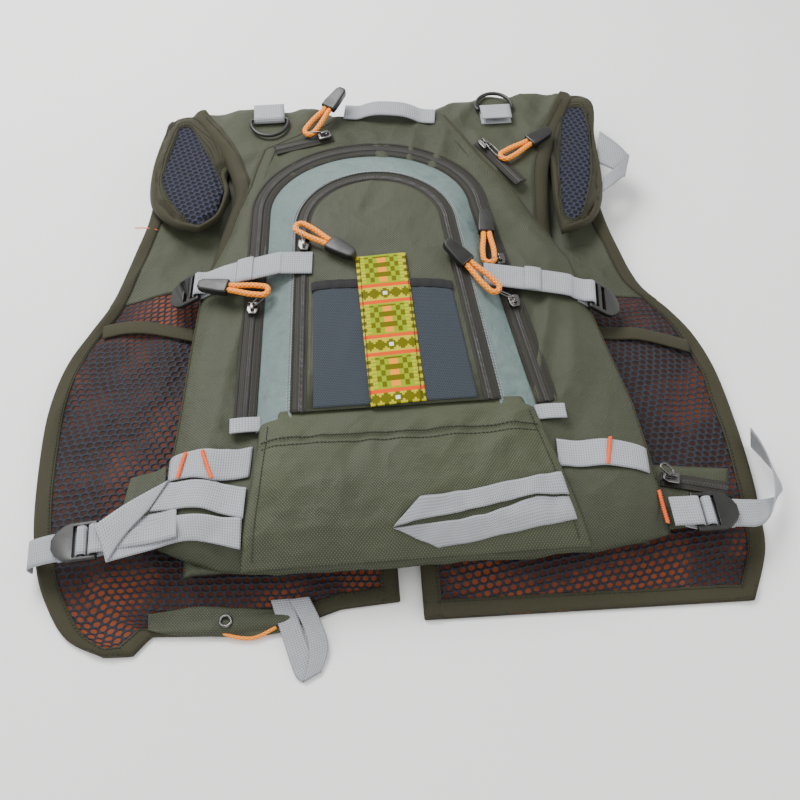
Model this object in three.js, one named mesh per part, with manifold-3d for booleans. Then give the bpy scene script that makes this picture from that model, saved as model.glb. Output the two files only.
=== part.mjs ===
// Fishing vest with a sewn-on back pack, lying on its front with the pack up.
// Millimetres. +X to the right, +Y towards the collar, +Z up from the table.
import * as THREE from "three";
import { mergeVertices } from "three/addons/utils/BufferGeometryUtils.js";
import Module from "manifold-3d";

const wasm = await Module();
wasm.setup();

// ---- driving dimensions ----
const GAP = 0.3; // clearance between two pieces that touch
const DEG = Math.PI / 180;

const POCKET_HEIGHT = 17.7; // front pockets, lying on the table
const FRONT_THICK = 4; // front panels
const HEM_TOP = 4.6; // top of the hem where it lies on the table
const BACK_THICK = 9; // padded back panel
const YOKE_THICK = 6.2; // the same panel where it runs over the shoulders
const YOKE_LIFT = 20.2; // how far the yoke rises above the back panel
const SLOPE_GAP = 0.06 * YOKE_LIFT; // clearance over its ramp and other sloping faces
const RAMP_START = 120; // Y where the back panel starts to rise
const RAMP_END = 195; // Y where the yoke is level
const PAD_THICK = 11; // shoulder pads
const PACK_HEIGHT = 27.4; // main compartment above the back panel
const PACK_EDGE = 2.7; // thickness of the main compartment at its side seam
const COMPARTMENT_HEIGHT = 19.2; // front compartment above the main one
const PANEL_THICK = 2; // inner panel of the front compartment
const NET_THICK = 1.5; // mesh pocket
const BAND_WIDTH = 48;
const BAND_LENGTH = 172;
const BAND_THICK = 1.6;

const TAPE_THICK = 0.8; // zip tape
const COIL_WIDTH = 5.4;
const COIL_HEIGHT = 2.2; // above the tape
const OUTER_TAPE = 20; // widths of the zip tapes
const INNER_TAPE = 18;
const SMALL_TAPE = 14;
const SLIDER_WIDTH = 11;
const SLIDER_LENGTH = 14;
const SLIDER_HEIGHT = 3.6;
const BRIDGE_HEIGHT = 3.8; // bridge on top of a slider
const BRIDGE_WIDTH = 3;

const CORD_DIAMETER = 5; // zip pull cords
const CORD_WIDTH = 16; // outside width of a pull's loop
const CORD_LENGTH = 42; // outside length of a pull's loop
const CAP_LENGTH = 30;
const CAP_WIDTH = 16;
const CAP_HEIGHT = 8;

const WEB_THICK = 1.2; // webbing
const WEB_WIDTH = 27;
const TAB_WIDTH = 33; // webbing tab of a D-ring
const RING_WIRE = 4;
const RING_SLACK = 1.5; // between a tab's edge and the ring's side
const RING_WIDTH = TAB_WIDTH + 2 * (RING_SLACK + RING_WIRE); // D-ring, outside
const RING_DEPTH = 30;
const LOCK_WALL = 3.5; // ladder lock, beside its slots
const LOCK_SLACK = 1; // between the webbing's edge and a slot's end
const LOCK_WIDTH = WEB_WIDTH + 2 * (LOCK_SLACK + LOCK_WALL);
const LOCK_LENGTH = 38.5;
const LOCK_THICK = 5;
const LOCK_BAR = 4.5; // bar that a webbing loop turns round
const TURN = 4.5; // radius of the webbing's middle line round that bar

// ---- heights that follow from them ----
const FRONT_MID = POCKET_HEIGHT + GAP + FRONT_THICK; // top of a front panel
const BACK_TOP = FRONT_MID + GAP + 1 + BACK_THICK;
const YOKE_TOP = BACK_TOP + YOKE_LIFT;
const FRONT_HIGH = YOKE_TOP - YOKE_THICK - PAD_THICK - 2 * GAP; // under the pads
const PACK_TOP = BACK_TOP + PACK_HEIGHT;
const COMPARTMENT_BASE = PACK_TOP + GAP;
const COMPARTMENT_TOP = COMPARTMENT_BASE + COMPARTMENT_HEIGHT;
const PANEL_BASE = COMPARTMENT_TOP + GAP;
const NET_BASE = PANEL_BASE + PANEL_THICK + GAP;
const BAND_BASE = NET_BASE + NET_THICK + GAP;
const COIL_TOP = TAPE_THICK + COIL_HEIGHT;

// ---- materials ----
const cloth = (color, roughness = 0.9) => new THREE.MeshStandardMaterial({ color, roughness });
const MAT = {
  green: cloth(0x4b4f3a),
  sage: cloth(0x8b9a92, 0.6),
  net: cloth(0x3c3a40),
  pad: cloth(0x4a4652),
  mesh: cloth(0x5d646c),
  zip: cloth(0x45423a, 0.7),
  webbing: cloth(0x9c9c9c, 0.8),
  cord: cloth(0xe8863a, 0.8),
  band: cloth(0x9aa23a),
  plastic: new THREE.MeshStandardMaterial({ color: 0x1d1d1c, roughness: 0.45 }),
  metal: new THREE.MeshStandardMaterial({ color: 0x9a9a9c, roughness: 0.35, metalness: 1 }),
};

const vest = new THREE.Group();

// ---- helpers ----
const point = (x, y, z = 0) => new THREE.Vector3(x, y, z);
const mix = (a, b, t) => a + (b - a) * t;
const ease = (t) => THREE.MathUtils.smoothstep(t, 0, 1);

// value at a place in a table of [place, value] rows, straight between rows
function along(table, at) {
  if (at <= table[0][0]) return table[0][1];
  for (let i = 1; i < table.length; i++) {
    const [a, va] = table[i - 1];
    const [b, vb] = table[i];
    if (at <= b) return mix(va, vb, (at - a) / (b - a));
  }
  return table[table.length - 1][1];
}

const evenly = (count) => Array.from({ length: count + 1 }, (_, i) => i / count);

function closedMesh(vertices, triangles) {
  let volume = 0;
  for (const [a, b, c] of triangles) {
    volume += vertices[a].dot(vertices[b].clone().cross(vertices[c]));
  }
  const index = triangles.flatMap(([a, b, c]) => (volume > 0 ? [a, b, c] : [a, c, b]));
  const geometry = new THREE.BufferGeometry();
  geometry.setFromPoints(vertices);
  geometry.setIndex(index);
  return geometry;
}

// closed slab between two surfaces given on one grid of u (across) and v (along)
function slab(us, vs, top, bottom) {
  const columns = us.length;
  const vertices = [];
  for (const surface of [top, bottom]) {
    for (const v of vs) {
      for (const u of us) vertices.push(surface(u, v));
    }
  }
  const half = columns * vs.length;
  const id = (i, j, layer) => layer * half + j * columns + i;
  const triangles = [];
  const quad = (a, b, c, d) => triangles.push([a, b, c], [a, c, d]);
  for (let j = 0; j + 1 < vs.length; j++) {
    for (let i = 0; i + 1 < columns; i++) {
      quad(id(i, j, 0), id(i + 1, j, 0), id(i + 1, j + 1, 0), id(i, j + 1, 0));
      quad(id(i, j, 1), id(i, j + 1, 1), id(i + 1, j + 1, 1), id(i + 1, j, 1));
    }
    const last = columns - 1;
    quad(id(0, j, 0), id(0, j + 1, 0), id(0, j + 1, 1), id(0, j, 1));
    quad(id(last, j, 1), id(last, j + 1, 1), id(last, j + 1, 0), id(last, j, 0));
  }
  const end = vs.length - 1;
  for (let i = 0; i + 1 < columns; i++) {
    quad(id(i, 0, 1), id(i + 1, 0, 1), id(i + 1, 0, 0), id(i, 0, 0));
    quad(id(i, end, 0), id(i + 1, end, 0), id(i + 1, end, 1), id(i, end, 1));
  }
  return closedMesh(vertices, triangles);
}

// flat band along stations, each a middle point and half of its width as a vector
function ribbon(stations, thickness = WEB_THICK) {
  const lift = stations.map(([, half], i) => {
    const before = stations[Math.max(i - 1, 0)][0];
    const after = stations[Math.min(i + 1, stations.length - 1)][0];
    const normal = after.clone().sub(before).cross(half).normalize();
    return normal.multiplyScalar(thickness / 2);
  });
  const surface = (side) => (u, v) => {
    const [middle, half] = stations[v];
    return middle.clone().addScaledVector(half, u).addScaledVector(lift[v], side);
  };
  return slab([-1, 1], stations.map((_, i) => i), surface(1), surface(-1));
}

// band whose middle line lies in the plane through X and Z, with its width along Y
const strap = (line, width = WEB_WIDTH, thickness = WEB_THICK) =>
  ribbon(line.map(([x, z]) => [point(x, 0, z), point(0, width / 2, 0)]), thickness);

// points of a turn round a bar at the origin, coming in above it and leaving below
const turnRound = (radius) =>
  evenly(6).map((t) => {
    const angle = Math.PI * (0.5 - t);
    return [radius * Math.cos(angle), radius * Math.sin(angle)];
  });

// shape of a flat outline, always counter-clockwise
function outline(points) {
  const corners = points.map(([x, y]) => new THREE.Vector2(x, y));
  return new THREE.Shape(THREE.ShapeUtils.isClockWise(corners) ? corners.reverse() : corners);
}

// plate of a flat outline from height base up, with a small bevel if asked for
function plate(shape, base, thickness, bevel = 0) {
  const geometry = new THREE.ExtrudeGeometry(shape, {
    depth: thickness - 2 * bevel,
    bevelEnabled: bevel > 0,
    bevelThickness: bevel,
    bevelSize: bevel,
    bevelOffset: -bevel,
    bevelSegments: 1,
    curveSegments: 5,
  });
  return geometry.translate(0, 0, base + bevel);
}

function merged(geometry) {
  const bare = geometry.clone();
  bare.deleteAttribute("normal");
  bare.deleteAttribute("uv");
  return mergeVertices(bare, 1e-4);
}

function solidOf(geometry) {
  const bare = merged(geometry);
  const vertProperties = new Float32Array(bare.attributes.position.array);
  const triVerts = new Uint32Array(bare.index.array);
  return new wasm.Manifold(new wasm.Mesh({ numProp: 3, vertProperties, triVerts }));
}

function geometryOf(solid) {
  const mesh = solid.getMesh();
  const geometry = new THREE.BufferGeometry();
  geometry.setAttribute("position", new THREE.BufferAttribute(mesh.vertProperties, 3));
  geometry.setIndex(new THREE.BufferAttribute(mesh.triVerts, 1));
  return geometry;
}

const box = (width, depth, height, x, y, z) =>
  new THREE.BoxGeometry(width, depth, height).translate(x, y, z);

function add(name, geometry, material, parent = vest) {
  const mesh = new THREE.Mesh(merged(geometry), material);
  mesh.name = name;
  parent.add(mesh);
  return mesh;
}

function place(x, y, z, turn = 0, tilt = 0) {
  const group = new THREE.Group();
  group.position.set(x, y, z);
  group.rotation.set(0, -tilt * DEG, turn * DEG, "ZYX");
  vest.add(group);
  return group;
}

// ---- front panels and their pockets ----
const LEFT_FRONT = {
  outer: [
    [-262, -298], [-318, -215], [-324, -170], [-316, -80], [-306, -1],
    [-278, 26], [-264, 70], [-254, 125], [-240, 170], [-232, 235], [-222, 306],
  ],
  inner: [[-14, -270], [-14, -120], [-14, 20], [-14, 110], [-40, 190], [-95, 260], [-130, 306]],
  hem: [[0, 0], [0.1, -4], [0.16, 10], [0.4, -1], [0.65, -4], [0.8, 3], [1, 0]],
};
const RIGHT_FRONT = {
  outer: [
    [283, -293], [308, -225], [312, -175], [309, -129], [303, -60], [294, -13],
    [268, 10], [251, 45], [244, 95], [236, 135], [232, 180], [231, 240], [233, 306],
  ],
  inner: [[6, -288], [8, -120], [8, 20], [8, 110], [35, 190], [95, 260], [140, 306]],
  hem: [[0, 0], [0.5, 0], [1, 0]],
};
const FRONT_EDGE_TOP = [[-298, HEM_TOP], [-180, 9], [0, 14], [74, 19], [125, 26], [180, FRONT_HIGH]];
const FRONT_MID_TOP = [[RAMP_START + 12, FRONT_MID], [RAMP_END + 5, FRONT_HIGH]];
const SLUMP_ACROSS = 0.3; // share of the width where a front panel sinks to its edge
const SLUMP_ALONG = 0.14; // share of the length where it sinks to the hem

const curveThrough = (points) =>
  new THREE.CatmullRomCurve3(points.map(([x, y]) => point(x, y)), false, "centripetal");

function frontPanel(side) {
  const outer = curveThrough(side.outer);
  const inner = curveThrough(side.inner);
  const top = (u, v) => {
    const spot = outer.getPointAt(v).lerp(inner.getPointAt(v), u);
    const edge = along(FRONT_EDGE_TOP, spot.y);
    const middle = along(FRONT_MID_TOP, spot.y);
    const high = mix(edge, middle, ease(Math.min(u / SLUMP_ACROSS, 1)));
    spot.z = mix(HEM_TOP, high, ease(Math.min(v / SLUMP_ALONG, 1)));
    spot.y += along(side.hem, u) * (1 - Math.min(v / SLUMP_ALONG, 1));
    return spot;
  };
  const bottom = (u, v) => top(u, v).add(point(0, 0, -FRONT_THICK));
  const across = [0, 0.05, 0.1, 0.16, 0.23, SLUMP_ACROSS, 0.5, 0.7, 0.85, 1];
  const lengthwise = [0, 0.035, 0.07, 0.105, SLUMP_ALONG, 0.25, 0.35, 0.45, 0.53, 0.6, 0.67];
  return slab(across, [...lengthwise, 0.74, 0.81, 0.9, 1], top, bottom);
}

add("front_panel_left", frontPanel(LEFT_FRONT), MAT.net);
add("front_panel_right", frontPanel(RIGHT_FRONT), MAT.net);

const POCKET_WIDTH = 145;
const POCKET_LENGTH = 240;
const POCKET_CORNER = 22;
const POCKET_INSET = 30; // from the vest's middle line to a pocket

function roundedRectangle(width, length, radius) {
  const shape = new THREE.Shape();
  const x = width / 2;
  const y = length / 2;
  shape.moveTo(-x + radius, -y);
  shape.lineTo(x - radius, -y);
  shape.absarc(x - radius, -y + radius, radius, -Math.PI / 2, 0);
  shape.absarc(x - radius, y - radius, radius, 0, Math.PI / 2);
  shape.absarc(-x + radius, y - radius, radius, Math.PI / 2, Math.PI);
  shape.absarc(-x + radius, -y + radius, radius, Math.PI, Math.PI * 1.5);
  return shape;
}

for (const [name, sign] of [["left", -1], ["right", 1]]) {
  const shape = roundedRectangle(POCKET_WIDTH, POCKET_LENGTH, POCKET_CORNER);
  const pocket = plate(shape, 0, POCKET_HEIGHT, 3);
  pocket.translate(sign * (POCKET_INSET + POCKET_WIDTH / 2), -72, 0);
  add(`front_pocket_${name}`, pocket, MAT.green);
}

// ---- back panel and yoke ----
const rampShare = (y) => THREE.MathUtils.clamp((y - RAMP_START) / (RAMP_END - RAMP_START), 0, 1);
const backTop = (y) => mix(BACK_TOP, YOKE_TOP, rampShare(y));
const BACK_LEFT = [
  [-192, -246], [-186, -100], [-180, 60], [-172, 112], [-160, 150], [-150, 184],
  [-165, 240], [-200, 303],
];
const BACK_RIGHT = [
  [200, -246], [196, -100], [186, 60], [176, 106], [178, 150], [184, 197], [205, 250], [233, 303],
];
const COLLAR = [
  [0, 0], [0.1, 9], [0.3, 2], [0.38, -6], [0.5, -36], [0.58, -22], [0.67, 4], [0.9, 9], [1, 2],
];

function backPanel() {
  const left = curveThrough(BACK_LEFT);
  const right = curveThrough(BACK_RIGHT);
  const spot = (u, v) => {
    const at = left.getPointAt(v).lerp(right.getPointAt(v), u);
    at.y += along(COLLAR, u) * ease(Math.max((v - 0.82) / 0.18, 0));
    return at;
  };
  const top = (u, v) => {
    const at = spot(u, v);
    return at.setZ(backTop(at.y));
  };
  const bottom = (u, v) => {
    const at = top(u, v);
    return at.setZ(at.z - mix(BACK_THICK, YOKE_THICK, rampShare(at.y)));
  };
  const lengthwise = [0, 0.25, 0.5, 0.62, 0.66, 0.7, 0.74, 0.78, 0.82, 0.88, 0.94, 1];
  return slab([0, 0.1, 0.2, 0.3, 0.38, 0.44, 0.5, 0.58, 0.67, 0.8, 0.9, 1], lengthwise, top, bottom);
}

add("back_panel", backPanel(), MAT.green);

// ---- shoulder pads, seen from their inner, meshed side ----
const PAD_LEFT = [
  [-187, 136], [-216, 148], [-238, 178], [-240, 232], [-230, 288], [-219, 312], [-160, 310],
  [-148, 245], [-160, 214], [-157, 190], [-167, 153],
];
const PAD_RIGHT = [
  [184, 104], [214, 116], [232, 142], [241, 185], [245, 245], [251, 311], [190, 310],
  [184, 250], [188, 203], [184, 150],
];
const PAD_BASE = FRONT_HIGH + GAP;
add("shoulder_pad_left", plate(outline(PAD_LEFT), PAD_BASE, PAD_THICK, 2.5), MAT.pad);
add("shoulder_pad_right", plate(outline(PAD_RIGHT), PAD_BASE, PAD_THICK, 2.5), MAT.pad);

// ---- main compartment of the pack ----
// rows: Y, left edge, right edge, share of the rounded bottom
const PACK_ROWS = [
  [-254, -212, 217, 1], [-243, -213, 218, 0.7], [-228, -213, 218, 0.45], [-212, -212, 218, 0.2],
  [-195, -211, 217, 0], [-160, -208, 216, 0], [-114, -202, 213, 0], [-14, -192, 197, 0],
  [60, -183, 187, 0], [118, -160, 162, 0], [150, -150, 148, 0], [181, -137, 131, 0],
  [205, -131, 116, 0], [235, -122, 103, 0], [255, -86, 94, 0], [282, -50, 82, 0],
];
const PACK_BOTTOM_CURVE = [
  [0, 32], [0.06, 18], [0.12, 8], [0.2, 2], [0.3, 0], [0.7, 0], [0.85, 1], [0.94, 6], [1, 12],
];
const PACK_BULGE = [[0, 0], [0.03, 0.5], [0.06, 0.8], [0.1, 1], [0.9, 1], [0.94, 0.8], [0.97, 0.5], [1, 0]];
const packTopAt = (y) =>
  along(
    [
      [-254, BACK_TOP + PACK_EDGE], [-243, mix(BACK_TOP, PACK_TOP, 0.45)],
      [-228, mix(BACK_TOP, PACK_TOP, 0.74)], [-212, mix(BACK_TOP, PACK_TOP, 0.93)],
      [-195, PACK_TOP], [240, PACK_TOP], [255, PACK_TOP - 1], [282, PACK_TOP - 2],
    ],
    y,
  );

function packBody() {
  const spot = (u, j) => {
    const [y, left, right, share] = PACK_ROWS[j];
    return point(mix(left, right, u), y + along(PACK_BOTTOM_CURVE, u) * share);
  };
  const top = (u, j) => {
    const y = PACK_ROWS[j][0];
    const edge = backTop(y) + PACK_EDGE;
    const crown = j === 0 ? edge : packTopAt(y);
    return spot(u, j).setZ(mix(edge, crown, along(PACK_BULGE, u)));
  };
  const bottom = (u, j) => {
    const y = PACK_ROWS[j][0];
    const ramped = y > RAMP_START - 15 && y < RAMP_END + 15;
    return spot(u, j).setZ(backTop(y) + (ramped ? SLOPE_GAP : GAP));
  };
  const across = [0, 0.03, 0.06, 0.1, 0.2, 0.3, 0.5, 0.7, 0.85, 0.9, 0.94, 0.97, 1];
  return slab(across, PACK_ROWS.map((_, j) => j), top, bottom);
}

add("pack_body", packBody(), MAT.green);

// highest point of the pack's top under a spot
function packHeight(x, y) {
  const left = along(PACK_ROWS.map((row) => [row[0], row[1]]), y);
  const right = along(PACK_ROWS.map((row) => [row[0], row[2]]), y);
  const share = (x - left) / (right - left);
  if (share < 0 || share > 1) return BACK_TOP;
  return mix(backTop(y) + PACK_EDGE, packTopAt(y), along(PACK_BULGE, share));
}

// ---- arched zips and the front compartment between them ----
// each arch: left and right middle lines of the zip at its foot and at its spring
const OUTER_ARCH = { foot: [-137, 130], spring: [-122, 100], footY: -118, springY: 132, topY: 222 };
const INNER_ARCH = { foot: [-87, 77], spring: [-77, 62], footY: -125, springY: 92, topY: 157 };
const ARCH_STEPS = 18;

// points of an arch moved outwards by an offset, from its left foot to its right foot
function archPoints(arch, offset, footY = arch.footY) {
  const [footLeft, footRight] = arch.foot;
  const [springLeft, springRight] = arch.spring;
  const middle = (springLeft + springRight) / 2;
  const half = (springRight - springLeft) / 2 + offset;
  const rise = arch.topY - arch.springY + offset;
  const points = [[footLeft - offset, footY]];
  for (const t of evenly(ARCH_STEPS)) {
    const angle = Math.PI * (1 - t);
    points.push([middle + half * Math.cos(angle), arch.springY + rise * Math.sin(angle)]);
  }
  points.push([footRight + offset, footY]);
  return points;
}

function archZip(arch, width, base) {
  const half = width / 2;
  const coil = COIL_WIDTH / 2;
  const profile = [
    [-half, TAPE_THICK], [-coil, TAPE_THICK], [-coil * 0.8, COIL_TOP], [coil * 0.8, COIL_TOP],
    [coil, TAPE_THICK], [half, TAPE_THICK],
  ];
  const lines = profile.map(([offset]) => archPoints(arch, offset));
  const count = lines[0].length;
  const at = (i, j, z) => point(...lines[i][j], base + z);
  const top = (i, j) => at(i, j, profile[i][1]);
  const bottom = (i, j) => at(i, j, 0);
  return slab(profile.map((_, i) => i), Array.from({ length: count }, (_, j) => j), top, bottom);
}

// block between a lower and an upper outline with the same number of points
function frustum(lower, upper, base, height) {
  const count = lower.length;
  const vertices = [
    ...lower.map(([x, y]) => point(x, y, base)),
    ...upper.map(([x, y]) => point(x, y, base + height)),
  ];
  const flat = (points) => points.map(([x, y]) => new THREE.Vector2(x, y));
  const faces = (points) => THREE.ShapeUtils.triangulateShape(flat(points), []);
  const triangles = faces(upper).map((face) => face.map((i) => i + count));
  for (const [a, b, c] of faces(lower)) triangles.push([a, c, b]);
  const clockwise = THREE.ShapeUtils.isClockWise(flat(lower));
  for (let i = 0; i < count; i++) {
    const next = (i + 1) % count;
    const [a, b] = clockwise ? [next, i] : [i, next];
    triangles.push([a, b, b + count], [a, b + count, a + count]);
  }
  return closedMesh(vertices, triangles);
}

const COMPARTMENT_FOOT = -130;
const compartmentBase = archPoints(OUTER_ARCH, -OUTER_TAPE / 2 - 0.5, COMPARTMENT_FOOT);
const compartmentTop = archPoints(INNER_ARCH, INNER_TAPE / 2 + 1, COMPARTMENT_FOOT);
add("outer_zip", archZip(OUTER_ARCH, OUTER_TAPE, COMPARTMENT_BASE), MAT.zip);
add(
  "front_compartment",
  frustum(compartmentBase, compartmentTop, COMPARTMENT_BASE, COMPARTMENT_HEIGHT),
  MAT.sage,
);
add("inner_zip", archZip(INNER_ARCH, INNER_TAPE, PANEL_BASE), MAT.zip);

const panelEdge = archPoints(INNER_ARCH, -INNER_TAPE / 2 - 0.5);
add("inner_panel", plate(outline(panelEdge), PANEL_BASE, PANEL_THICK), MAT.green);

// ---- lower panel, falling from the front compartment to the pack's bottom ----
// rows: Y, height above the pack, left edge, right edge
const LOWER_ROWS = [
  [-251, 0.14, -142, 147], [-243, 0.19, -141, 145], [-228, 0.34, -139, 141],
  [-212, 0.42, -136, 137], [-195, 0.62, -133, 132], [-175, 0.83, -130, 127],
  [-150, 0.97, -126, 121], [COMPARTMENT_FOOT - 0.5, 1, -124, 117],
].map(([y, share, ...edges]) => [y, packTopAt(y) + GAP + share * COMPARTMENT_HEIGHT, ...edges]);
const LOWER_BULGE = [[0, 0.3], [0.05, 0.75], [0.14, 1], [0.86, 1], [0.95, 0.75], [1, 0.3]];

function lowerPanel() {
  const base = (y) => packTopAt(y) + (y < -195 ? SLOPE_GAP : GAP);
  const spot = (u, j) => point(mix(LOWER_ROWS[j][2], LOWER_ROWS[j][3], u), LOWER_ROWS[j][0]);
  const bottom = (u, j) => spot(u, j).setZ(base(LOWER_ROWS[j][0]));
  const top = (u, j) => {
    const [y, height] = LOWER_ROWS[j];
    return spot(u, j).setZ(mix(base(y), height, along(LOWER_BULGE, u)));
  };
  return slab([0, 0.05, 0.14, 0.5, 0.86, 0.95, 1], LOWER_ROWS.map((_, j) => j), top, bottom);
}

const lowerTopAt = (y) => along(LOWER_ROWS.map(([rowY, height]) => [rowY, height]), y);
add("lower_panel", lowerPanel(), MAT.green);

// ---- mesh pocket and patterned band on the inner panel ----
const NET_OUTLINE = [[-76, -123], [66, -123], [58, 4], [52, 11], [-66, 19], [-72, 13]];
add("mesh_pocket", plate(outline(NET_OUTLINE), NET_BASE, NET_THICK), MAT.mesh);

const band = box(BAND_WIDTH, BAND_LENGTH, BAND_THICK, 0, 0, BAND_THICK / 2);
band.translate(-4.5, -39, BAND_BASE);
add("patterned_band", band, MAT.band);

// ---- straight zips ----
function straightZip(length, width) {
  const half = width / 2;
  const coil = COIL_WIDTH / 2;
  const profile = [
    [-half, 0], [half, 0], [half, TAPE_THICK], [coil, TAPE_THICK], [coil * 0.8, COIL_TOP],
    [-coil * 0.8, COIL_TOP], [-coil, TAPE_THICK], [-half, TAPE_THICK],
  ];
  const geometry = new THREE.ExtrudeGeometry(outline(profile), { depth: length, bevelEnabled: false });
  return geometry.rotateX(Math.PI / 2).rotateZ(Math.PI / 2); // runs along +X from the origin
}

const headingOf = ([x0, y0], [x1, y1]) => Math.atan2(y1 - y0, x1 - x0) / DEG;
const spacing = ([x0, y0], [x1, y1]) => Math.hypot(x1 - x0, y1 - y0);

const SHOULDER_LEFT = { from: [-44, 246], to: [-106, 230], base: PACK_TOP + GAP };
const SHOULDER_RIGHT = { from: [114, 233], to: [150, 167], base: YOKE_TOP + GAP };
const WING_TOP = BACK_TOP - 0.4;
const WING_THICK = 6;
const SIDE_ZIP = { from: [221, -188], to: [276, -203], base: WING_TOP + GAP };

for (const [name, run] of [
  ["shoulder_zip_left", SHOULDER_LEFT],
  ["shoulder_zip_right", SHOULDER_RIGHT],
  ["side_pocket_zip", SIDE_ZIP],
]) {
  const group = place(...run.from, run.base, headingOf(run.from, run.to));
  add(name, straightZip(spacing(run.from, run.to), SMALL_TAPE), MAT.zip, group);
}

// ---- side wing with its zipped pocket ----
const WING = [[203, -236], [262, -234], [279, -214], [284, -182], [240, -172], [202, -168]];
add("side_wing_right", plate(outline(WING), WING_TOP - WING_THICK, WING_THICK), MAT.green);

// ---- zip sliders ----
function sliderGeometry() {
  const half = SLIDER_WIDTH / 2;
  const body = outline([
    [-SLIDER_LENGTH / 2, -half * 0.6], [-SLIDER_LENGTH * 0.2, -half], [SLIDER_LENGTH / 2, -half],
    [SLIDER_LENGTH / 2, half], [-SLIDER_LENGTH * 0.2, half], [-SLIDER_LENGTH / 2, half * 0.6],
  ]);
  const bridge = outline([
    [-5, -0.5], [5, -0.5], [4.4, BRIDGE_HEIGHT * 0.8], [3.2, BRIDGE_HEIGHT],
    [-3.2, BRIDGE_HEIGHT], [-4.4, BRIDGE_HEIGHT * 0.8],
  ]);
  bridge.holes.push(outline([[-3, 0.6], [-3, BRIDGE_HEIGHT - 1.2], [3, BRIDGE_HEIGHT - 1.2], [3, 0.6]]));
  const arch = new THREE.ExtrudeGeometry(bridge, { depth: BRIDGE_WIDTH, bevelEnabled: false });
  arch.translate(0, 0, -BRIDGE_WIDTH / 2).rotateX(Math.PI / 2).translate(0, 0, SLIDER_HEIGHT);
  return geometryOf(solidOf(plate(body, 0, SLIDER_HEIGHT, 0.6)).add(solidOf(arch)));
}

// middle line of an arch's straight side at a height Y
function onArch(arch, side, y) {
  const share = (y - arch.footY) / (arch.springY - arch.footY);
  return [mix(arch.foot[side], arch.spring[side], share), y];
}
const onRun = (run, distance) => {
  const share = distance / spacing(run.from, run.to);
  return [mix(run.from[0], run.to[0], share), mix(run.from[1], run.to[1], share)];
};
const archHeading = (arch, side) =>
  headingOf([arch.foot[side], arch.footY], [arch.spring[side], arch.springY]);

const UPPER_STRAP_Y = 44; // middle of the left upper strap where it crosses the inner zip
const SLIDER_CLEAR = 1.5; // between that strap and the slider above it
const aboveStrap = UPPER_STRAP_Y + WEB_WIDTH / 2 + SLIDER_CLEAR + SLIDER_LENGTH / 2;
const SLIDERS = {
  outer_left: {
    at: onArch(OUTER_ARCH, 0, 7), heading: archHeading(OUTER_ARCH, 0), base: COMPARTMENT_BASE,
  },
  inner_left: {
    at: onArch(INNER_ARCH, 0, aboveStrap), heading: archHeading(INNER_ARCH, 0), base: PANEL_BASE,
  },
  outer_right_upper: {
    at: onArch(OUTER_ARCH, 1, 50), heading: archHeading(OUTER_ARCH, 1), base: COMPARTMENT_BASE,
  },
  outer_right_lower: {
    at: onArch(OUTER_ARCH, 1, -4), heading: archHeading(OUTER_ARCH, 1), base: COMPARTMENT_BASE,
  },
  shoulder_left: {
    at: onRun(SHOULDER_LEFT, 9), heading: headingOf(SHOULDER_LEFT.from, SHOULDER_LEFT.to),
    base: SHOULDER_LEFT.base,
  },
  shoulder_right: {
    at: onRun(SHOULDER_RIGHT, 9), heading: headingOf(SHOULDER_RIGHT.from, SHOULDER_RIGHT.to),
    base: SHOULDER_RIGHT.base,
  },
  side_pocket: {
    at: onRun(SIDE_ZIP, 8), heading: headingOf(SIDE_ZIP.from, SIDE_ZIP.to), base: SIDE_ZIP.base,
  },
};

for (const [name, { at, heading, base }] of Object.entries(SLIDERS)) {
  add(`${name}_slider`, sliderGeometry(), MAT.metal, place(...at, base + COIL_TOP + GAP, heading));
}

// ---- cord pulls ----
// each pull's own origin is the middle of its loop's bend, where it hangs on the slider's wire
const PULLS = {
  outer_left: { at: [-119, 19, PACK_TOP + 16.5], heading: 164, tilt: -6 },
  inner_left: { at: [-80, aboveStrap + 18, PACK_TOP + 30], heading: -40, tilt: 0 },
  outer_right_upper: { at: [99, 48, PACK_TOP + 10.5], heading: 87, tilt: 0 },
  outer_right_lower: { at: [97, 4, PACK_TOP + 18.5], heading: 131, tilt: 14 },
  shoulder_left: { at: [-68, 250, PACK_TOP + 8], heading: 52, tilt: 11 },
  shoulder_right: { at: [138, 204, YOKE_TOP + 6.2], heading: 33, tilt: 0 },
};

function cordLoop() {
  const radius = (CORD_WIDTH - CORD_DIAMETER) / 2;
  const reach = CORD_LENGTH - CORD_WIDTH / 2 - GAP;
  const path = new THREE.CurvePath();
  path.add(new THREE.LineCurve3(point(reach, radius), point(0, radius)));
  const bend = evenly(8).map((t) => {
    const angle = Math.PI * (0.5 + t);
    return point(radius * Math.cos(angle), radius * Math.sin(angle));
  });
  for (let i = 0; i + 1 < bend.length; i++) path.add(new THREE.LineCurve3(bend[i], bend[i + 1]));
  path.add(new THREE.LineCurve3(point(0, -radius), point(reach, -radius)));
  const line = new THREE.CatmullRomCurve3(path.getSpacedPoints(26), false, "centripetal");
  const section = new THREE.Shape();
  section.absarc(0, 0, CORD_DIAMETER / 2, 0, Math.PI * 2);
  return new THREE.ExtrudeGeometry(section, { steps: 22, extrudePath: line, curveSegments: 4 });
}

function cordCap() {
  const x0 = CORD_LENGTH - CORD_WIDTH / 2;
  const half = CAP_WIDTH / 2;
  const shape = outline([
    [x0, -half], [x0 + CAP_LENGTH * 0.25, -half], [x0 + CAP_LENGTH - 4, -half * 0.75],
    [x0 + CAP_LENGTH, -half * 0.45], [x0 + CAP_LENGTH, half * 0.45],
    [x0 + CAP_LENGTH - 4, half * 0.75], [x0 + CAP_LENGTH * 0.25, half], [x0, half],
  ]);
  return plate(shape, -CAP_HEIGHT / 2, CAP_HEIGHT, 1);
}

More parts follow.
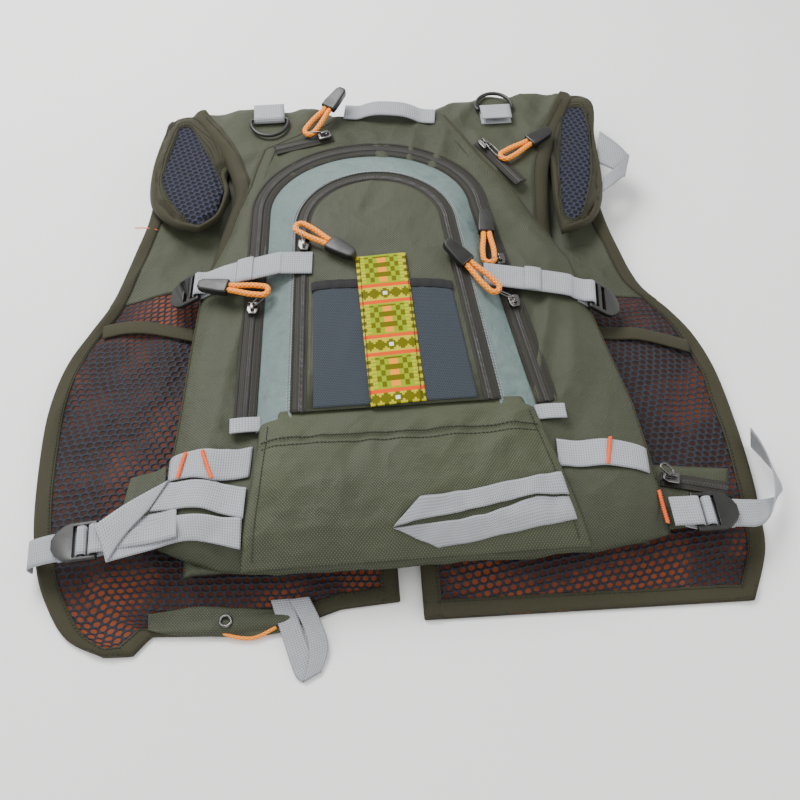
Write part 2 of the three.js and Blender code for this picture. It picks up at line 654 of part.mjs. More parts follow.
for (const [name, { at, heading, tilt }] of Object.entries(PULLS)) {
  const group = place(...at, heading, tilt);
  add(`${name}_pull_cord`, cordLoop(), MAT.cord, group);
  add(`${name}_pull_cap`, cordCap(), MAT.plastic, group);
}

const SIDE_PULL = { length: 14, width: 8, wire: 1.8, thickness: 1.6, behind: 0.6 };
const sidePull = roundedRectangle(SIDE_PULL.length, SIDE_PULL.width, SIDE_PULL.width / 2 - 0.1);
const sidePullHole = roundedRectangle(
  SIDE_PULL.length - 2 * SIDE_PULL.wire,
  SIDE_PULL.width - 2 * SIDE_PULL.wire,
  SIDE_PULL.width / 2 - SIDE_PULL.wire - 0.1,
);
sidePull.holes.push(new THREE.Path(sidePullHole.getPoints(4).reverse()));
const sidePullGroup = place(
  ...SLIDERS.side_pocket.at,
  SLIDERS.side_pocket.base + COIL_TOP + GAP + SLIDER_HEIGHT + BRIDGE_HEIGHT + GAP,
  125,
);
const sidePullPlate = plate(sidePull, 0, SIDE_PULL.thickness);
sidePullPlate.translate(SIDE_PULL.length / 2 - SIDE_PULL.behind, 0, 0);
add("side_pocket_pull", sidePullPlate, MAT.metal, sidePullGroup);

// ---- D-rings and their tabs on the yoke ----
function ringGeometry() {
  const half = RING_WIDTH / 2;
  const shape = new THREE.Shape();
  const shoulder = RING_WIRE * 2;
  shape.moveTo(-half, -RING_WIRE / 2);
  shape.lineTo(half, -RING_WIRE / 2);
  shape.lineTo(half, shoulder);
  shape.absellipse(0, shoulder, half, RING_DEPTH - RING_WIRE / 2 - shoulder, 0, Math.PI);
  const inner = half - RING_WIRE;
  const hole = new THREE.Path();
  hole.moveTo(-inner, RING_WIRE / 2);
  hole.lineTo(-inner, shoulder);
  hole.absellipse(0, shoulder, inner, RING_DEPTH - 1.5 * RING_WIRE - shoulder, Math.PI, 0, true);
  hole.lineTo(inner, RING_WIRE / 2);
  shape.holes.push(hole);
  return plate(shape, -RING_WIRE / 2, RING_WIRE, 0.7);
}

const TAB_TURN = 3.7; // radius of the tab's middle line round the ring's bar
const TAB_RUN = 20; // sewn length of a tab
const RING_HEIGHT = YOKE_TOP + GAP + TAB_TURN + WEB_THICK / 2;
const RINGS = { left: { at: [-112, 284], turn: 180 }, right: { at: [137, 282], turn: 0 } };

for (const [name, { at, turn }] of Object.entries(RINGS)) {
  const group = place(...at, RING_HEIGHT, turn);
  add(`d_ring_${name}`, ringGeometry(), MAT.plastic, group);
  const line = [[-TAB_RUN, TAB_TURN], ...turnRound(TAB_TURN), [-TAB_RUN, -TAB_TURN]];
  add(`d_ring_tab_${name}`, strap(line, TAB_WIDTH).rotateZ(Math.PI / 2), MAT.webbing, group);
}

// ---- grab handle at the collar ----
const HANDLE_RISE = 13;
const HANDLE_WIDTH = 22;
const handleFoot = packTopAt(258) + GAP + WEB_THICK / 2;
const handleHalf = [
  [50, 0], [36, 0], [30, HANDLE_RISE * 0.23], [24, HANDLE_RISE * 0.6], [12, HANDLE_RISE],
];
const handleLine = [...handleHalf.map(([x, z]) => [-x, z]), ...[...handleHalf].reverse()];
const handleGroup = place(20, 279, handleFoot, -9);
add("grab_handle", strap(handleLine, HANDLE_WIDTH), MAT.webbing, handleGroup);

// ---- ladder locks ----
function lockGeometry() {
  const half = LOCK_WIDTH / 2;
  const slot = WEB_WIDTH / 2 + LOCK_SLACK;
  const start = -LOCK_BAR / 2;
  const end = start + LOCK_LENGTH;
  const shape = outline([
    [start, -half], [20, -half], [26, -half + 2], [end - 3, -half * 0.55], [end, -half * 0.25],
    [end, half * 0.25], [end - 3, half * 0.55], [26, half - 2], [20, half], [start, half],
  ]);
  let body = solidOf(plate(shape, -LOCK_THICK / 2, LOCK_THICK, 0.8));
  for (const [from, to] of [[2.2, 8.6], [12.4, 17.6]]) {
    const cut = box(to - from, 2 * slot, 2 * LOCK_THICK, (from + to) / 2, 0, 0);
    body = body.subtract(solidOf(cut));
  }
  return geometryOf(body);
}

// webbing threaded over a lock's second bar, both ends leaving under its tongue
const THREAD_LINE = [
  [32, -5.6], [12, -5.6], [8, -5.1], [6.9, -3], [6.9, 2], [8.2, 3.7], [12.6, 3.7], [14, 2],
  [14.2, -1.5], [16.2, -3.9], [36, -4.1],
];
const LOCKS = {
  upper_lock_left: { at: [-183, 51.5, BACK_TOP + 19.5], turn: 176, tilt: -34 },
  upper_lock_right: { at: [194, 11, BACK_TOP + 19.5], turn: -8, tilt: -34 },
  lower_lock_left: { at: [-263, -212, BACK_TOP + 8], turn: 182, tilt: -4 },
  lower_lock_right: { at: [241, -227, BACK_TOP + 8], turn: 0, tilt: -3 },
};
for (const [name, { at, turn, tilt }] of Object.entries(LOCKS)) {
  add(name, lockGeometry(), MAT.plastic, place(...at, turn, tilt));
}

// webbing from a sewn root to the turn round a lock's first bar, in the lock's upright plane
function lockStrap(name, root, lock, rise) {
  const { at, turn } = LOCKS[lock];
  const [x, y, z] = at;
  const reach = Math.hypot(root[0] - x, root[1] - y);
  const line = [
    ...rise.map(([share, height]) => [-reach * share, height - z]),
    [-8, TURN],
    ...turnRound(TURN),
    [-7, -1.4],
    [-13, 3.1],
  ];
  add(name, strap(line), MAT.webbing, place(x, y, z, turn));
}

const onTop = PANEL_BASE + COIL_TOP + GAP + WEB_THICK / 2 + 0.2;
lockStrap("upper_strap_left", [-71, UPPER_STRAP_Y], "upper_lock_left", [
  [1, onTop - 0.2], [0.75, onTop], [0.7, onTop - 0.4], [0.3, PACK_TOP + 8.6], [0.14, PACK_TOP + 0.4],
]);
lockStrap("upper_strap_right", [91, 26], "upper_lock_right", [
  [1, PACK_TOP + 13.5], [0.93, PACK_TOP + 13], [0.28, PACK_TOP + 4.6], [0.16, PACK_TOP - 0.6],
]);
lockStrap("lower_strap_left", [-146, -208], "lower_lock_left", [
  [1, PACK_TOP + 1.7], [0.8, PACK_TOP + 1.2], [0.6, PACK_TOP - 3], [0.44, PACK_TOP - 9],
  [0.2, BACK_TOP + 14],
]);
lockStrap("lower_strap_right", [219, -226], "lower_lock_right", [
  [1, BACK_TOP + 13], [0.7, BACK_TOP + 13],
]);

// ---- webbing from the lower locks round to the front panels ----
// stations: local X, Y, Z of the middle line, then half of the width as a vector
const SIDE_HALF = 13;
const SIDE_LEFT_END = [
  [52, -1, -9, 0, SIDE_HALF, 0], [60, -2, -14, 0, SIDE_HALF, 0],
  [62, -3, -20, 0, SIDE_HALF, 0], [61, -4, -27, 0, SIDE_HALF, 0],
];
const SIDE_RIGHT_END = [
  [52, 1, -8, 0, SIDE_HALF, 0], [66, 6, -14, 2.5, SIDE_HALF * 0.93, -2.5],
  [80, 16, -19, 6, SIDE_HALF * 0.7, -6], [90, 32, -22, 7.5, SIDE_HALF * 0.3, -9],
  [91, 52, -22, 6, 0, -10], [86, 72, -22, 4, -2, -10], [80, 86, -22, 3, -2, -10],
];

function sideStrap(name, lock, ending) {
  const { at, turn, tilt } = LOCKS[lock];
  const stations = [
    ...THREAD_LINE.map(([x, z]) => [point(x, 0, z), point(0, SIDE_HALF, 0)]),
    ...ending.map(([x, y, z, ...half]) => [point(x, y, z), point(...half)]),
  ];
  add(name, ribbon(stations), MAT.webbing, place(...at, turn, tilt));
}
sideStrap("side_strap_left", "lower_lock_left", SIDE_LEFT_END);
sideStrap("side_strap_right", "lower_lock_right", SIDE_RIGHT_END);

// ---- flat folded loops of webbing ----
// loop given by its outer and inner outline, lifted to a surface height
function foldedLoop(outer, inner, thickness, height) {
  const shape = outline(outer);
  shape.holes.push(outline(inner));
  const geometry = merged(plate(shape, 0, thickness));
  const position = geometry.attributes.position;
  for (let i = 0; i < position.count; i++) {
    position.setZ(i, position.getZ(i) + height(position.getY(i)));
  }
  return geometry;
}

const FOLDED_OUTER = [
  [-16, -231], [8, -210], [60, -205], [127, -196], [136, -233], [80, -240], [20, -246],
];
const FOLDED_INNER = [[14, -224], [60, -222], [104, -213], [60, -226], [16, -229]];
const FOLDED_LIFT = 3.4; // clears the lower panel's facets
add(
  "folded_strap_right",
  foldedLoop(FOLDED_OUTER, FOLDED_INNER, WEB_THICK, (y) => lowerTopAt(y) + FOLDED_LIFT),
  MAT.webbing,
);

const HEM_LOOP_OUTER = [
  [-121, -263], [-89, -263], [-76, -306], [-82, -326], [-96, -334], [-103, -326],
];
const HEM_LOOP_INNER = [[-105, -272], [-91, -304], [-88, -298], [-98, -272]];
const HEM_LOOP_HEIGHTS = [[-334, 0], [-306, 3.4], [-284, HEM_TOP + 0.4], [-263, HEM_TOP + 3.4]];
add(
  "hem_loop",
  foldedLoop(HEM_LOOP_OUTER, HEM_LOOP_INNER, 2 * WEB_THICK, (y) => along(HEM_LOOP_HEIGHTS, y)),
  MAT.webbing,
);

// ---- webbing sewn across the pack's lower sides ----
function sewnStrip(fromX, toX, middleY, turn) {
  const half = WEB_WIDTH / 2;
  const middle = (fromX + toX) / 2;
  const line = evenly(9).map((t) => {
    const x = mix(fromX, toX, t);
    const y = middleY + (x - middle) * Math.tan(turn * DEG);
    const lean = half * Math.sin(turn * DEG);
    const near = packHeight(x + lean, y - half);
    const far = packHeight(x - lean, y + half);
    return [x, Math.max(near, packHeight(x, y), far) + WEB_THICK / 2 + SLOPE_GAP];
  });
  return strap(line).translate(-middle, 0, 0).rotateZ(turn * DEG).translate(middle, middleY, 0);
}
add("daisy_webbing_left", sewnStrip(-203, -146, -147, 0), MAT.webbing);
add("daisy_webbing_right", sewnStrip(133, 208, -163, -8), MAT.webbing);

// ---- chest buckle between the two fronts, under the panels ----
const BUCKLE = { width: 32, height: 10, y: 96, base: 5, wall: 4 };
const SOCKET = { length: 30, middle: -19 };
const CROSSBAR = { length: 10, middle: 1.5 };
const PRONG = { length: 22, width: 5, height: 4, middle: -13, apart: 16 };
const BUCKLE_WEB_REACH = 75; // how far the webbing runs under a front pocket's edge
const buckleMiddle = BUCKLE.base + BUCKLE.height / 2;
const buckleBox = (length, width, height, x, y = 0) =>
  solidOf(box(length, width, height, x, BUCKLE.y + y, buckleMiddle));

const buckleWeb = (sign, from) => {
  const line = [
    [sign * from, buckleMiddle], [sign * (from + 12), buckleMiddle + 3],
    [sign * BUCKLE_WEB_REACH, POCKET_HEIGHT - WEB_THICK],
  ];
  return solidOf(strap(line).translate(0, BUCKLE.y, 0));
};

const socket = buckleBox(SOCKET.length, BUCKLE.width, BUCKLE.height, SOCKET.middle)
  .subtract(
    buckleBox(
      SOCKET.length - BUCKLE.wall,
      BUCKLE.width - 2 * BUCKLE.wall,
      PRONG.height + 2,
      SOCKET.middle + BUCKLE.wall,
    ),
  )
  .add(buckleWeb(-1, SOCKET.length));
add("chest_buckle_socket", geometryOf(socket), MAT.plastic);

let plug = buckleBox(CROSSBAR.length, BUCKLE.width, BUCKLE.height - 1, CROSSBAR.middle);
for (const side of [-0.5, 0.5]) {
  const y = side * PRONG.apart;
  plug = plug.add(buckleBox(PRONG.length, PRONG.width, PRONG.height, PRONG.middle, y));
}
add("chest_buckle_plug", geometryOf(plug.add(buckleWeb(1, CROSSBAR.length / 2 - 1))), MAT.plastic);

// ---- origin: middle of the vest's outline, on the table ----
vest.updateMatrixWorld(true);
const extent = new THREE.Box3().setFromObject(vest, true);
const centre = extent.getCenter(new THREE.Vector3());
vest.position.set(-centre.x, -centre.y, -extent.min.z);
vest.updateMatrixWorld(true);

export default vest;
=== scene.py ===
"""Fishing vest with a back pack, lying on its front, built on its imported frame."""

import math
from bisect import bisect_right

import bmesh
import bpy
from bpy.props import FloatProperty, FloatVectorProperty, PointerProperty
from mathutils import Matrix, Vector, noise
from mathutils.bvhtree import BVHTree


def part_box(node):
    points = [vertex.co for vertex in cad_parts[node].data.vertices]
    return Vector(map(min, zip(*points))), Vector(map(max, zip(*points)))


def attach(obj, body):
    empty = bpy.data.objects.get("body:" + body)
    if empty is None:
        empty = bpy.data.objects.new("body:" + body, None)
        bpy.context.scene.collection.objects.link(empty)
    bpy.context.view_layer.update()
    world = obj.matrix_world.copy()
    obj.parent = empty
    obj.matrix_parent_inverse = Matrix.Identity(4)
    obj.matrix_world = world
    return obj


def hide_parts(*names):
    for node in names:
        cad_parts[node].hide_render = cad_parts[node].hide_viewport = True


bl_info = {
    "name": "Fishing Vest With Back Pack",
    "version": (1, 0, 0),
    "blender": (4, 5, 0),
    "location": "View3D > Sidebar > Vest",
    "description": "Builds the cloth, webbing, zips and fittings of a fishing vest",
    "category": "Object",
}

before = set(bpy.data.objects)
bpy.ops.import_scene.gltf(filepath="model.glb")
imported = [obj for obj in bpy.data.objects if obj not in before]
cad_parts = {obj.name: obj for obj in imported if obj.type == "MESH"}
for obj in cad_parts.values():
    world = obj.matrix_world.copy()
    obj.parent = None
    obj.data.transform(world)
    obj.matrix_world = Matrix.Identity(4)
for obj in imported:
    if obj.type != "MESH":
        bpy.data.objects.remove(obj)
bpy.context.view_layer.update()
MM = 0.001
TURN = math.tau

# The vest's own frame: X to the right, Y to the collar, in millimetres.
POCKET_MIDDLE = Vector((-102.5, -72.0, 0.0)) * MM
_low, _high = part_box("front_pocket_left")
SHIFT = (_low + _high) / 2 - POCKET_MIDDLE
SHIFT.z = 0.0
FRONT_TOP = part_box("front_pocket_left")[1].z / MM + 4.3
BACK_TOP = FRONT_TOP + 10.3
YOKE_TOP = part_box("back_panel")[1].z / MM
PACK_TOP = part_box("pack_body")[1].z / MM
PANEL_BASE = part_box("inner_panel")[0].z / MM
FRONT_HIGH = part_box("shoulder_pad_left")[0].z / MM - 0.3


# ---- sizes and colours ----
def length(name, description, value):
    return FloatProperty(
        name=name, description=description, default=value * MM, unit="LENGTH", precision=4
    )


def colour(name, description, value):
    return FloatVectorProperty(
        name=name, description=description, default=value, size=3, subtype="COLOR", min=0, max=1
    )


class VestSizes(bpy.types.PropertyGroup):
    """Sizes of the tapes, cords and stitches."""

    binding_width: length("Binding width", "Width of the tape round the cloth edges", 15)
    webbing_width: length("Webbing width", "Width of the straps", 27)
    webbing_thickness: length("Webbing thickness", "Thickness of the straps", 1.5)
    cord_diameter: length("Cord diameter", "Diameter of the pull cords", 5.4)
    stitch_length: length("Stitch length", "Length of one stitch", 2.4)
    stitch_pitch: length("Stitch pitch", "Distance from one stitch to the next", 3.4)
    tooth_pitch: length("Tooth pitch", "Distance from one zip tooth to the next", 2.4)
    weave_pitch: length("Weave pitch", "Distance between the cloth's raised squares", 2.6)
    net_pitch: length("Net pitch", "Distance between the lining net's holes", 6.6)
    pad_pitch: length("Pad pitch", "Distance between the shoulder pads' holes", 7.0)


class VestColours(bpy.types.PropertyGroup):
    """Colours of the cloths, tapes and fittings."""

    green: colour("Green cloth", "Outer cloth", (0.026, 0.030, 0.0145))
    binding: colour("Binding", "Edge tape", (0.036, 0.034, 0.017))
    sage: colour("Sage cloth", "Gusset of the front compartment", (0.125, 0.178, 0.170))
    net: colour("Net", "Net inside the fronts", (0.016, 0.019, 0.026))
    lining: colour("Lining", "Cloth behind the net", (0.170, 0.035, 0.009))
    pad: colour("Shoulder mesh", "Spacer mesh of the shoulder pads", (0.021, 0.023, 0.042))
    pocket: colour("Pocket mesh", "Fine mesh of the flat pocket", (0.030, 0.039, 0.050))
    zip: colour("Zip tape", "Tape and teeth of the zips", (0.024, 0.022, 0.017))
    webbing: colour("Webbing", "Straps and tabs", (0.345, 0.355, 0.380))
    cord: colour("Cord", "Pull cords and bar tacks", (0.950, 0.250, 0.000))
    plastic: colour("Plastic", "Locks, rings and caps", (0.007, 0.007, 0.006))
    metal: colour("Metal", "Sliders and eyelet", (0.170, 0.166, 0.158))


class VestStage(bpy.types.PropertyGroup):
    """Floor and lights."""

    floor: colour("Floor", "Colour of the floor", (0.86, 0.86, 0.85))
    key: FloatProperty(name="Key light", description="Power of the main light", default=40, unit="POWER")
    fill: FloatProperty(name="Fill light", description="Power of the fill lights", default=11, unit="POWER")


def sizes():
    return bpy.context.scene.vest_sizes


def colours():
    return bpy.context.scene.vest_colours


# ---- plain sums ----
def at(x, y, z=0.0):
    return Vector((x, y, z)) * MM + SHIFT


def mix(a, b, share):
    return a + (b - a) * share


def clamp(value, low=0.0, high=1.0):
    return max(low, min(high, value))


def ease(share):
    share = clamp(share)
    return share * share * (3 - 2 * share)


def along(table, place):
    """Value at a place in rows of (place, value), straight between the rows."""
    if place <= table[0][0]:
        return table[0][1]
    for (a, low), (b, high) in zip(table, table[1:]):
        if place <= b:
            return mix(low, high, (place - a) / (b - a))
    return table[-1][1]


def runner(points, smooth=True, turns=8):
    """Function that gives the point at a share of the line's length."""
    line = [Vector(p) if len(p) == 3 else Vector((p[0], p[1], 0.0)) for p in points]
    if smooth and len(line) > 2:
        fine = []
        for i in range(len(line) - 1):
            before, a, b = line[max(i - 1, 0)], line[i], line[i + 1]
            after = line[min(i + 2, len(line) - 1)]
            for k in range(turns):
                t = k / turns
                fine.append(
                    0.5 * (2 * a + (b - before) * t + (2 * before - 5 * a + 4 * b - after) * t**2
                           + (3 * a - before - 3 * b + after) * t**3)
                )
        line = fine + [line[-1]]
    marks = [0.0]
    for a, b in zip(line, line[1:]):
        marks.append(marks[-1] + (b - a).length)
    total = marks[-1]

    def spot(share):
        reach = clamp(share) * total
        i = min(bisect_right(marks, reach), len(marks) - 1)
        step = marks[i] - marks[i - 1]
        return line[i - 1].lerp(line[i], (reach - marks[i - 1]) / step if step else 0.0)

    spot.length = total
    return spot


def ripple(x, y, size, seed):
    """Soft random height from -1 to 1 over a place in millimetres."""
    return noise.noise(Vector((x / size, y / size, seed * 7.31)))


def creases(x, y, heading, run, gap, seed):
    """Soft ridges that run along a heading, each about a gap wide."""
    c, s = math.cos(math.radians(heading)), math.sin(math.radians(heading))
    a, b = (x * c + y * s) / run, (y * c - x * s) / gap
    return 1 - 2 * abs(noise.noise(Vector((a, b, seed * 3.7))))


def fold(x, y, start, end, width, height):
    """One raised or sunk fold from start to end that fades at both ends."""
    dx, dy = end[0] - start[0], end[1] - start[1]
    t = clamp(((x - start[0]) * dx + (y - start[1]) * dy) / (dx * dx + dy * dy))
    away = math.hypot(x - start[0] - t * dx, y - start[1] - t * dy) / width
    if away > 3:
        return 0.0
    return height * math.exp(-away * away) * (1 - abs(2 * t - 1) ** 3)


def folds(x, y, table):
    """All the folds of a table of (start, end, width, height)."""
    return sum(fold(x, y, *row) for row in table)


def calm(x, y):
    """0 under the fittings sewn to the yoke, 1 away from them."""
    near = 1.0
    for a, b, reach in ((-112, 274, 30), (137, 272, 30), (20, 284, 45), (-74, 240, 34), (133, 200, 38)):
        near = min(near, ease(math.hypot(x - a, y - b) / reach - 0.45))
    return near


# ---- meshes ----
def draped(across, lengthwise, place, flat, ring=False):
    """Grid of squares laid by place(u, v), with its UV map in metres of flat cloth."""
    bm = bmesh.new()
    layer = bm.loops.layers.uv.new("UVMap")
    bmesh.ops.create_grid(bm, x_segments=across, y_segments=lengthwise, size=1.0)
    share = {v: ((v.co.x + 1) / 2, (v.co.y + 1) / 2) for v in bm.verts}
    for face in bm.faces:
        for loop in face.loops:
            u, v = share[loop.vert]
            loop[layer].uv = (u * flat[0], v * flat[1])
    for vert, (u, v) in share.items():
        vert.co = place(u, v)
    if ring:
        bmesh.ops.remove_doubles(bm, verts=bm.verts, dist=1e-6)
        bmesh.ops.recalc_face_normals(bm, faces=bm.faces)
    else:
        bm.normal_update()
        if sum(face.normal.z * face.calc_area() for face in bm.faces) < 0:
            bmesh.ops.reverse_faces(bm, faces=bm.faces)
    return bm


def cut_size(bm):
    """Width and length of a sheet's mesh along X and Y as it lies, and its area, in metres."""
    sides = [max(v.co[k] for v in bm.verts) - min(v.co[k] for v in bm.verts) for k in (0, 1)]
    return tuple(sides), sum(face.calc_area() for face in bm.faces)


def joined(*meshes):
    """One mesh of several, with the UV maps kept."""
    whole = bmesh.new()
    whole.loops.layers.uv.new("UVMap")
    for bm in meshes:
        part = bpy.data.meshes.new("part")
        bm.to_mesh(part)
        bm.free()
        whole.from_mesh(part)
        bpy.data.meshes.remove(part)
    return whole


def piece(name, bm, material, body="root", stands_for=(), shell=0.0, levels=0, offset=-1.0):
    """Finished object of a mesh, in place, on its body."""
    mesh = bpy.data.meshes.new(name)
    bm.to_mesh(mesh)
    bm.free()
    mesh.polygons.foreach_set("use_smooth", [True] * len(mesh.polygons))
    for finish in material if isinstance(material, (list, tuple)) else [material]:
        mesh.materials.append(finish)
    made = bpy.data.objects.new(name, mesh)
    bpy.context.scene.collection.objects.link(made)
    if shell:
        thick = made.modifiers.new("cloth thickness", "SOLIDIFY")
        thick.thickness, thick.offset = shell * MM, offset
    if levels:
        soft = made.modifiers.new("soft surface", "SUBSURF")
        soft.levels = soft.render_levels = levels
    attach(made, body)
    if stands_for:
        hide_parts(*stands_for)
    return made


def tube(points, radius, sides=10, smooth=True, step=1.6, capped=True):
    """Round cord along points in millimetres of the vest's frame."""
    spot = runner(points, smooth)
    count = max(4, int(spot.length / step))
    middles = [spot(k / count) for k in range(count + 1)]
    side = Vector((0, 0, 1))
    rings = []
    for k, middle in enumerate(middles):
        ahead = (middles[min(k + 1, count)] - middles[max(k - 1, 0)]).normalized()
        side = (side - ahead * side.dot(ahead)).normalized()
        rings.append((middle, side.copy(), ahead.cross(side)))

    def place(u, v):
        middle, up, out = rings[round(v * count)]
        angle = u * TURN
        p = middle + (up * math.cos(angle) + out * math.sin(angle)) * radius
        return at(*p)

    bm = draped(sides, count, place, (1.0, spot.length * MM), ring=True)
    if capped:
        edges = [e for e in bm.edges if e.is_boundary]
        bmesh.ops.holes_fill(bm, edges=edges, sides=0)
        bmesh.ops.recalc_face_normals(bm, faces=bm.faces)
    return bm


def ribbon(stations, width, across=4, step=2.5, smooth=True, crown=0.0):
    """Flat band along stations of (middle, width direction), both in millimetres."""
    spot = runner([middle for middle, _ in stations], smooth)
    marks = [0.0]
    for (a, _), (b, _) in zip(stations, stations[1:]):
        marks.append(marks[-1] + (Vector(b) - Vector(a)).length)
    shares = [m / marks[-1] for m in marks]
    directions = [(share, Vector(side).normalized()) for share, (_, side) in zip(shares, stations)]

    def side_at(v):
        for (a, low), (b, high) in zip(directions, directions[1:]):
            if v <= b:
                return low.lerp(high, (v - a) / max(b - a, 1e-9)).normalized()
        return directions[-1][1]

    def place(u, v):
        ahead = spot(v + 0.002) - spot(v - 0.002)
        side = side_at(v)
        up = side.cross(ahead).normalized()
        if up.z < 0:
            up = -up
        return at(*(spot(v) + side * (u - 0.5) * width + up * crown * math.sin(u * math.pi)))

    count = max(2, int(spot.length / step))
    return draped(across, count, place, (width * MM, spot.length * MM))


GROUND = {}


def ground(obj):
    """Keeps a finished surface, so that tapes and stitches can be laid on it."""
    graph = bpy.context.evaluated_depsgraph_get()
    GROUND[obj.name] = BVHTree.FromObject(obj, graph)
    return obj


def height(x, y, *names):
    """Height in millimetres of the highest of these surfaces under a place."""
    top = None
    for name in names or GROUND:
        hit = GROUND[name].ray_cast(at(x, y, 300), Vector((0, 0, -1)))[0]
        if hit is not None and (top is None or hit.z / MM > top):
            top = hit.z / MM
    return 0.0 if top is None else top


def laid(points, lift, *names):
    """The same line, laid on these surfaces, and level where it runs past their edge."""
    tops = [height(p[0], p[1], *names) for p in points]
    level = next((top for top in tops if top > 0), 0.0)
    line = []
    for p, top in zip(points, tops):
        level = top if top > 0 else level
        line.append(Vector((p[0], p[1], level + lift)))
    return line


# ---- shared shader groups ----
class Wiring:
    """Places and joins the nodes of one tree."""

    def __init__(self, tree):
        self.tree = tree

    def add(self, kind, **settings):
        node = self.tree.nodes.new(kind)
        node.location = (len(self.tree.nodes) * 180 - 1800, -(len(self.tree.nodes) % 4) * 160)
        for name, value in settings.items():
            setattr(node, name, value)
        return node

    def join(self, socket, value):
        if isinstance(value, bpy.types.NodeSocket):
            self.tree.links.new(value, socket)
        else:
            socket.default_value = value

    def math(self, operation, *values):
        node = self.add("ShaderNodeMath", operation=operation)
        for socket, value in zip(node.inputs, values):
            self.join(socket, value)
        return node.outputs[0]

    def split(self, vector):
        node = self.add("ShaderNodeSeparateXYZ")
        self.join(node.inputs[0], vector)
        return node.outputs

    def blend(self, share, a, b, kind="MIX"):
        node = self.add("ShaderNodeMix", data_type="RGBA", blend_type=kind)
        for socket, value in zip((node.inputs[0], node.inputs[6], node.inputs[7]), (share, a, b)):
            self.join(socket, value)
        return node.outputs[2]

    def ramp(self, value, low, high, start=0.0, end=1.0):
        node = self.add("ShaderNodeMapRange", interpolation_type="SMOOTHSTEP")
        for socket, given in zip(node.inputs, (value, low, high, start, end)):
            self.join(socket, given)
        return node.outputs[0]

    def noise(self, vector, scale, detail=3.0, roughness=0.55):
        node = self.add("ShaderNodeTexNoise")
        self.join(node.inputs["Vector"], vector)
        for name, value in (("Scale", scale), ("Detail", detail), ("Roughness", roughness)):
            self.join(node.inputs[name], value)
        return node.outputs["Fac"]

    def group(self, tree, **values):
        node = self.add("ShaderNodeGroup", node_tree=tree)
        for name, value in values.items():
            self.join(node.inputs[name.replace("_", " ")], value)
        return node.outputs


def shared_group(name, takes, gives, wire):
    """Node group made once: sockets by name with their kind and default."""
    if name in bpy.data.node_groups:
        return bpy.data.node_groups[name]
    tree = bpy.data.node_groups.new(name, "ShaderNodeTree")
    for title, kind, default in takes:
        socket = tree.interface.new_socket(title, in_out="INPUT", socket_type="NodeSocket" + kind)
        if default is not None:
            socket.default_value = default
    for title, kind in gives:
        tree.interface.new_socket(title, in_out="OUTPUT", socket_type="NodeSocket" + kind)
    w = Wiring(tree)
    start = w.add("NodeGroupInput")
    end = w.add("NodeGroupOutput")
    made = wire(w, {title: start.outputs[title] for title, _, _ in takes})
    for title, value in made.items():
        w.join(end.inputs[title], value)
    return tree


def wire_weave(w, given):
    x, y, _ = w.split(given["Vector"])
    a = w.math("DIVIDE", x, given["Pitch"])
    b = w.math("DIVIDE", y, given["Pitch"])
    across = w.math("SINE", w.math("MULTIPLY", a, TURN))
    lengthwise = w.math("SINE", w.math("MULTIPLY", b, TURN))
    square = w.math("MULTIPLY", across, lengthwise)
    thread = w.math("SINE", w.math("MULTIPLY", w.math("ADD", a, b), TURN * 3))
    raised = w.math("MULTIPLY_ADD", square, 0.5, 0.5)
    return {
        "Height": w.math("MULTIPLY_ADD", thread, 0.12, raised),
        "Raised": w.ramp(raised, 0.55, 0.95),
    }


def weave_group():
    return shared_group(
        "Square Weave",
        [("Vector", "Vector", None), ("Pitch", "Float", 0.002)],
        [("Height", "Float"), ("Raised", "Float")],
        wire_weave,
    )


def wire_holes(w, given):
    x, y, _ = w.split(given["Vector"])
    along_row = w.math("DIVIDE", x, given["Pitch"])
    row_at = w.math("DIVIDE", y, w.math("MULTIPLY", given["Pitch"], given["Stretch"]))
    row = w.math("FLOOR", row_at)
    shift = w.math("MULTIPLY", w.math("FLOORED_MODULO", row, 2.0), 0.5)
    dx = w.math("SUBTRACT", w.math("FRACT", w.math("ADD", along_row, shift)), 0.5)
    dy = w.math("MULTIPLY", w.math("SUBTRACT", w.math("FRACT", row_at), 0.5), given["Stretch"])
    away = w.math("SQRT", w.math("ADD", w.math("MULTIPLY", dx, dx), w.math("MULTIPLY", dy, dy)))
    rim = w.math("ADD", given["Size"], 0.10)
    return {
        "Hole": w.ramp(away, given["Size"], rim, 1.0, 0.0),
        "Height": w.ramp(away, w.math("SUBTRACT", given["Size"], 0.05), w.math("ADD", given["Size"], 0.25)),
    }


def holes_group():
    return shared_group(
        "Round Holes",
        [("Vector", "Vector", None), ("Pitch", "Float", 0.006), ("Size", "Float", 0.27),
         ("Stretch", "Float", 0.866)],
        [("Hole", "Float"), ("Height", "Float")],
        wire_holes,
    )


def wire_handled(w, given):
    broad = w.noise(given["Vector"], 9.0, 4.0)
    fine = w.noise(given["Vector"], 90.0, 3.0)
    shade = w.math("ADD", w.math("MULTIPLY", broad, 0.7), w.math("MULTIPLY", fine, 0.3))
    factor = w.ramp(shade, 0.32, 0.68)
    dark = w.blend(given["Amount"], given["Color"], (0.0, 0.0, 0.0, 1.0))
    light = w.blend(given["Amount"], given["Color"], given["Worn"])
    return {"Color": w.blend(factor, dark, light), "Shade": factor}


def handled_group():
    return shared_group(
        "Handled Cloth",
        [("Vector", "Vector", None), ("Color", "Color", (0.5, 0.5, 0.5, 1)),
         ("Worn", "Color", (0.8, 0.8, 0.7, 1)), ("Amount", "Float", 0.15)],
        [("Color", "Color"), ("Shade", "Float")],
        wire_handled,
    )


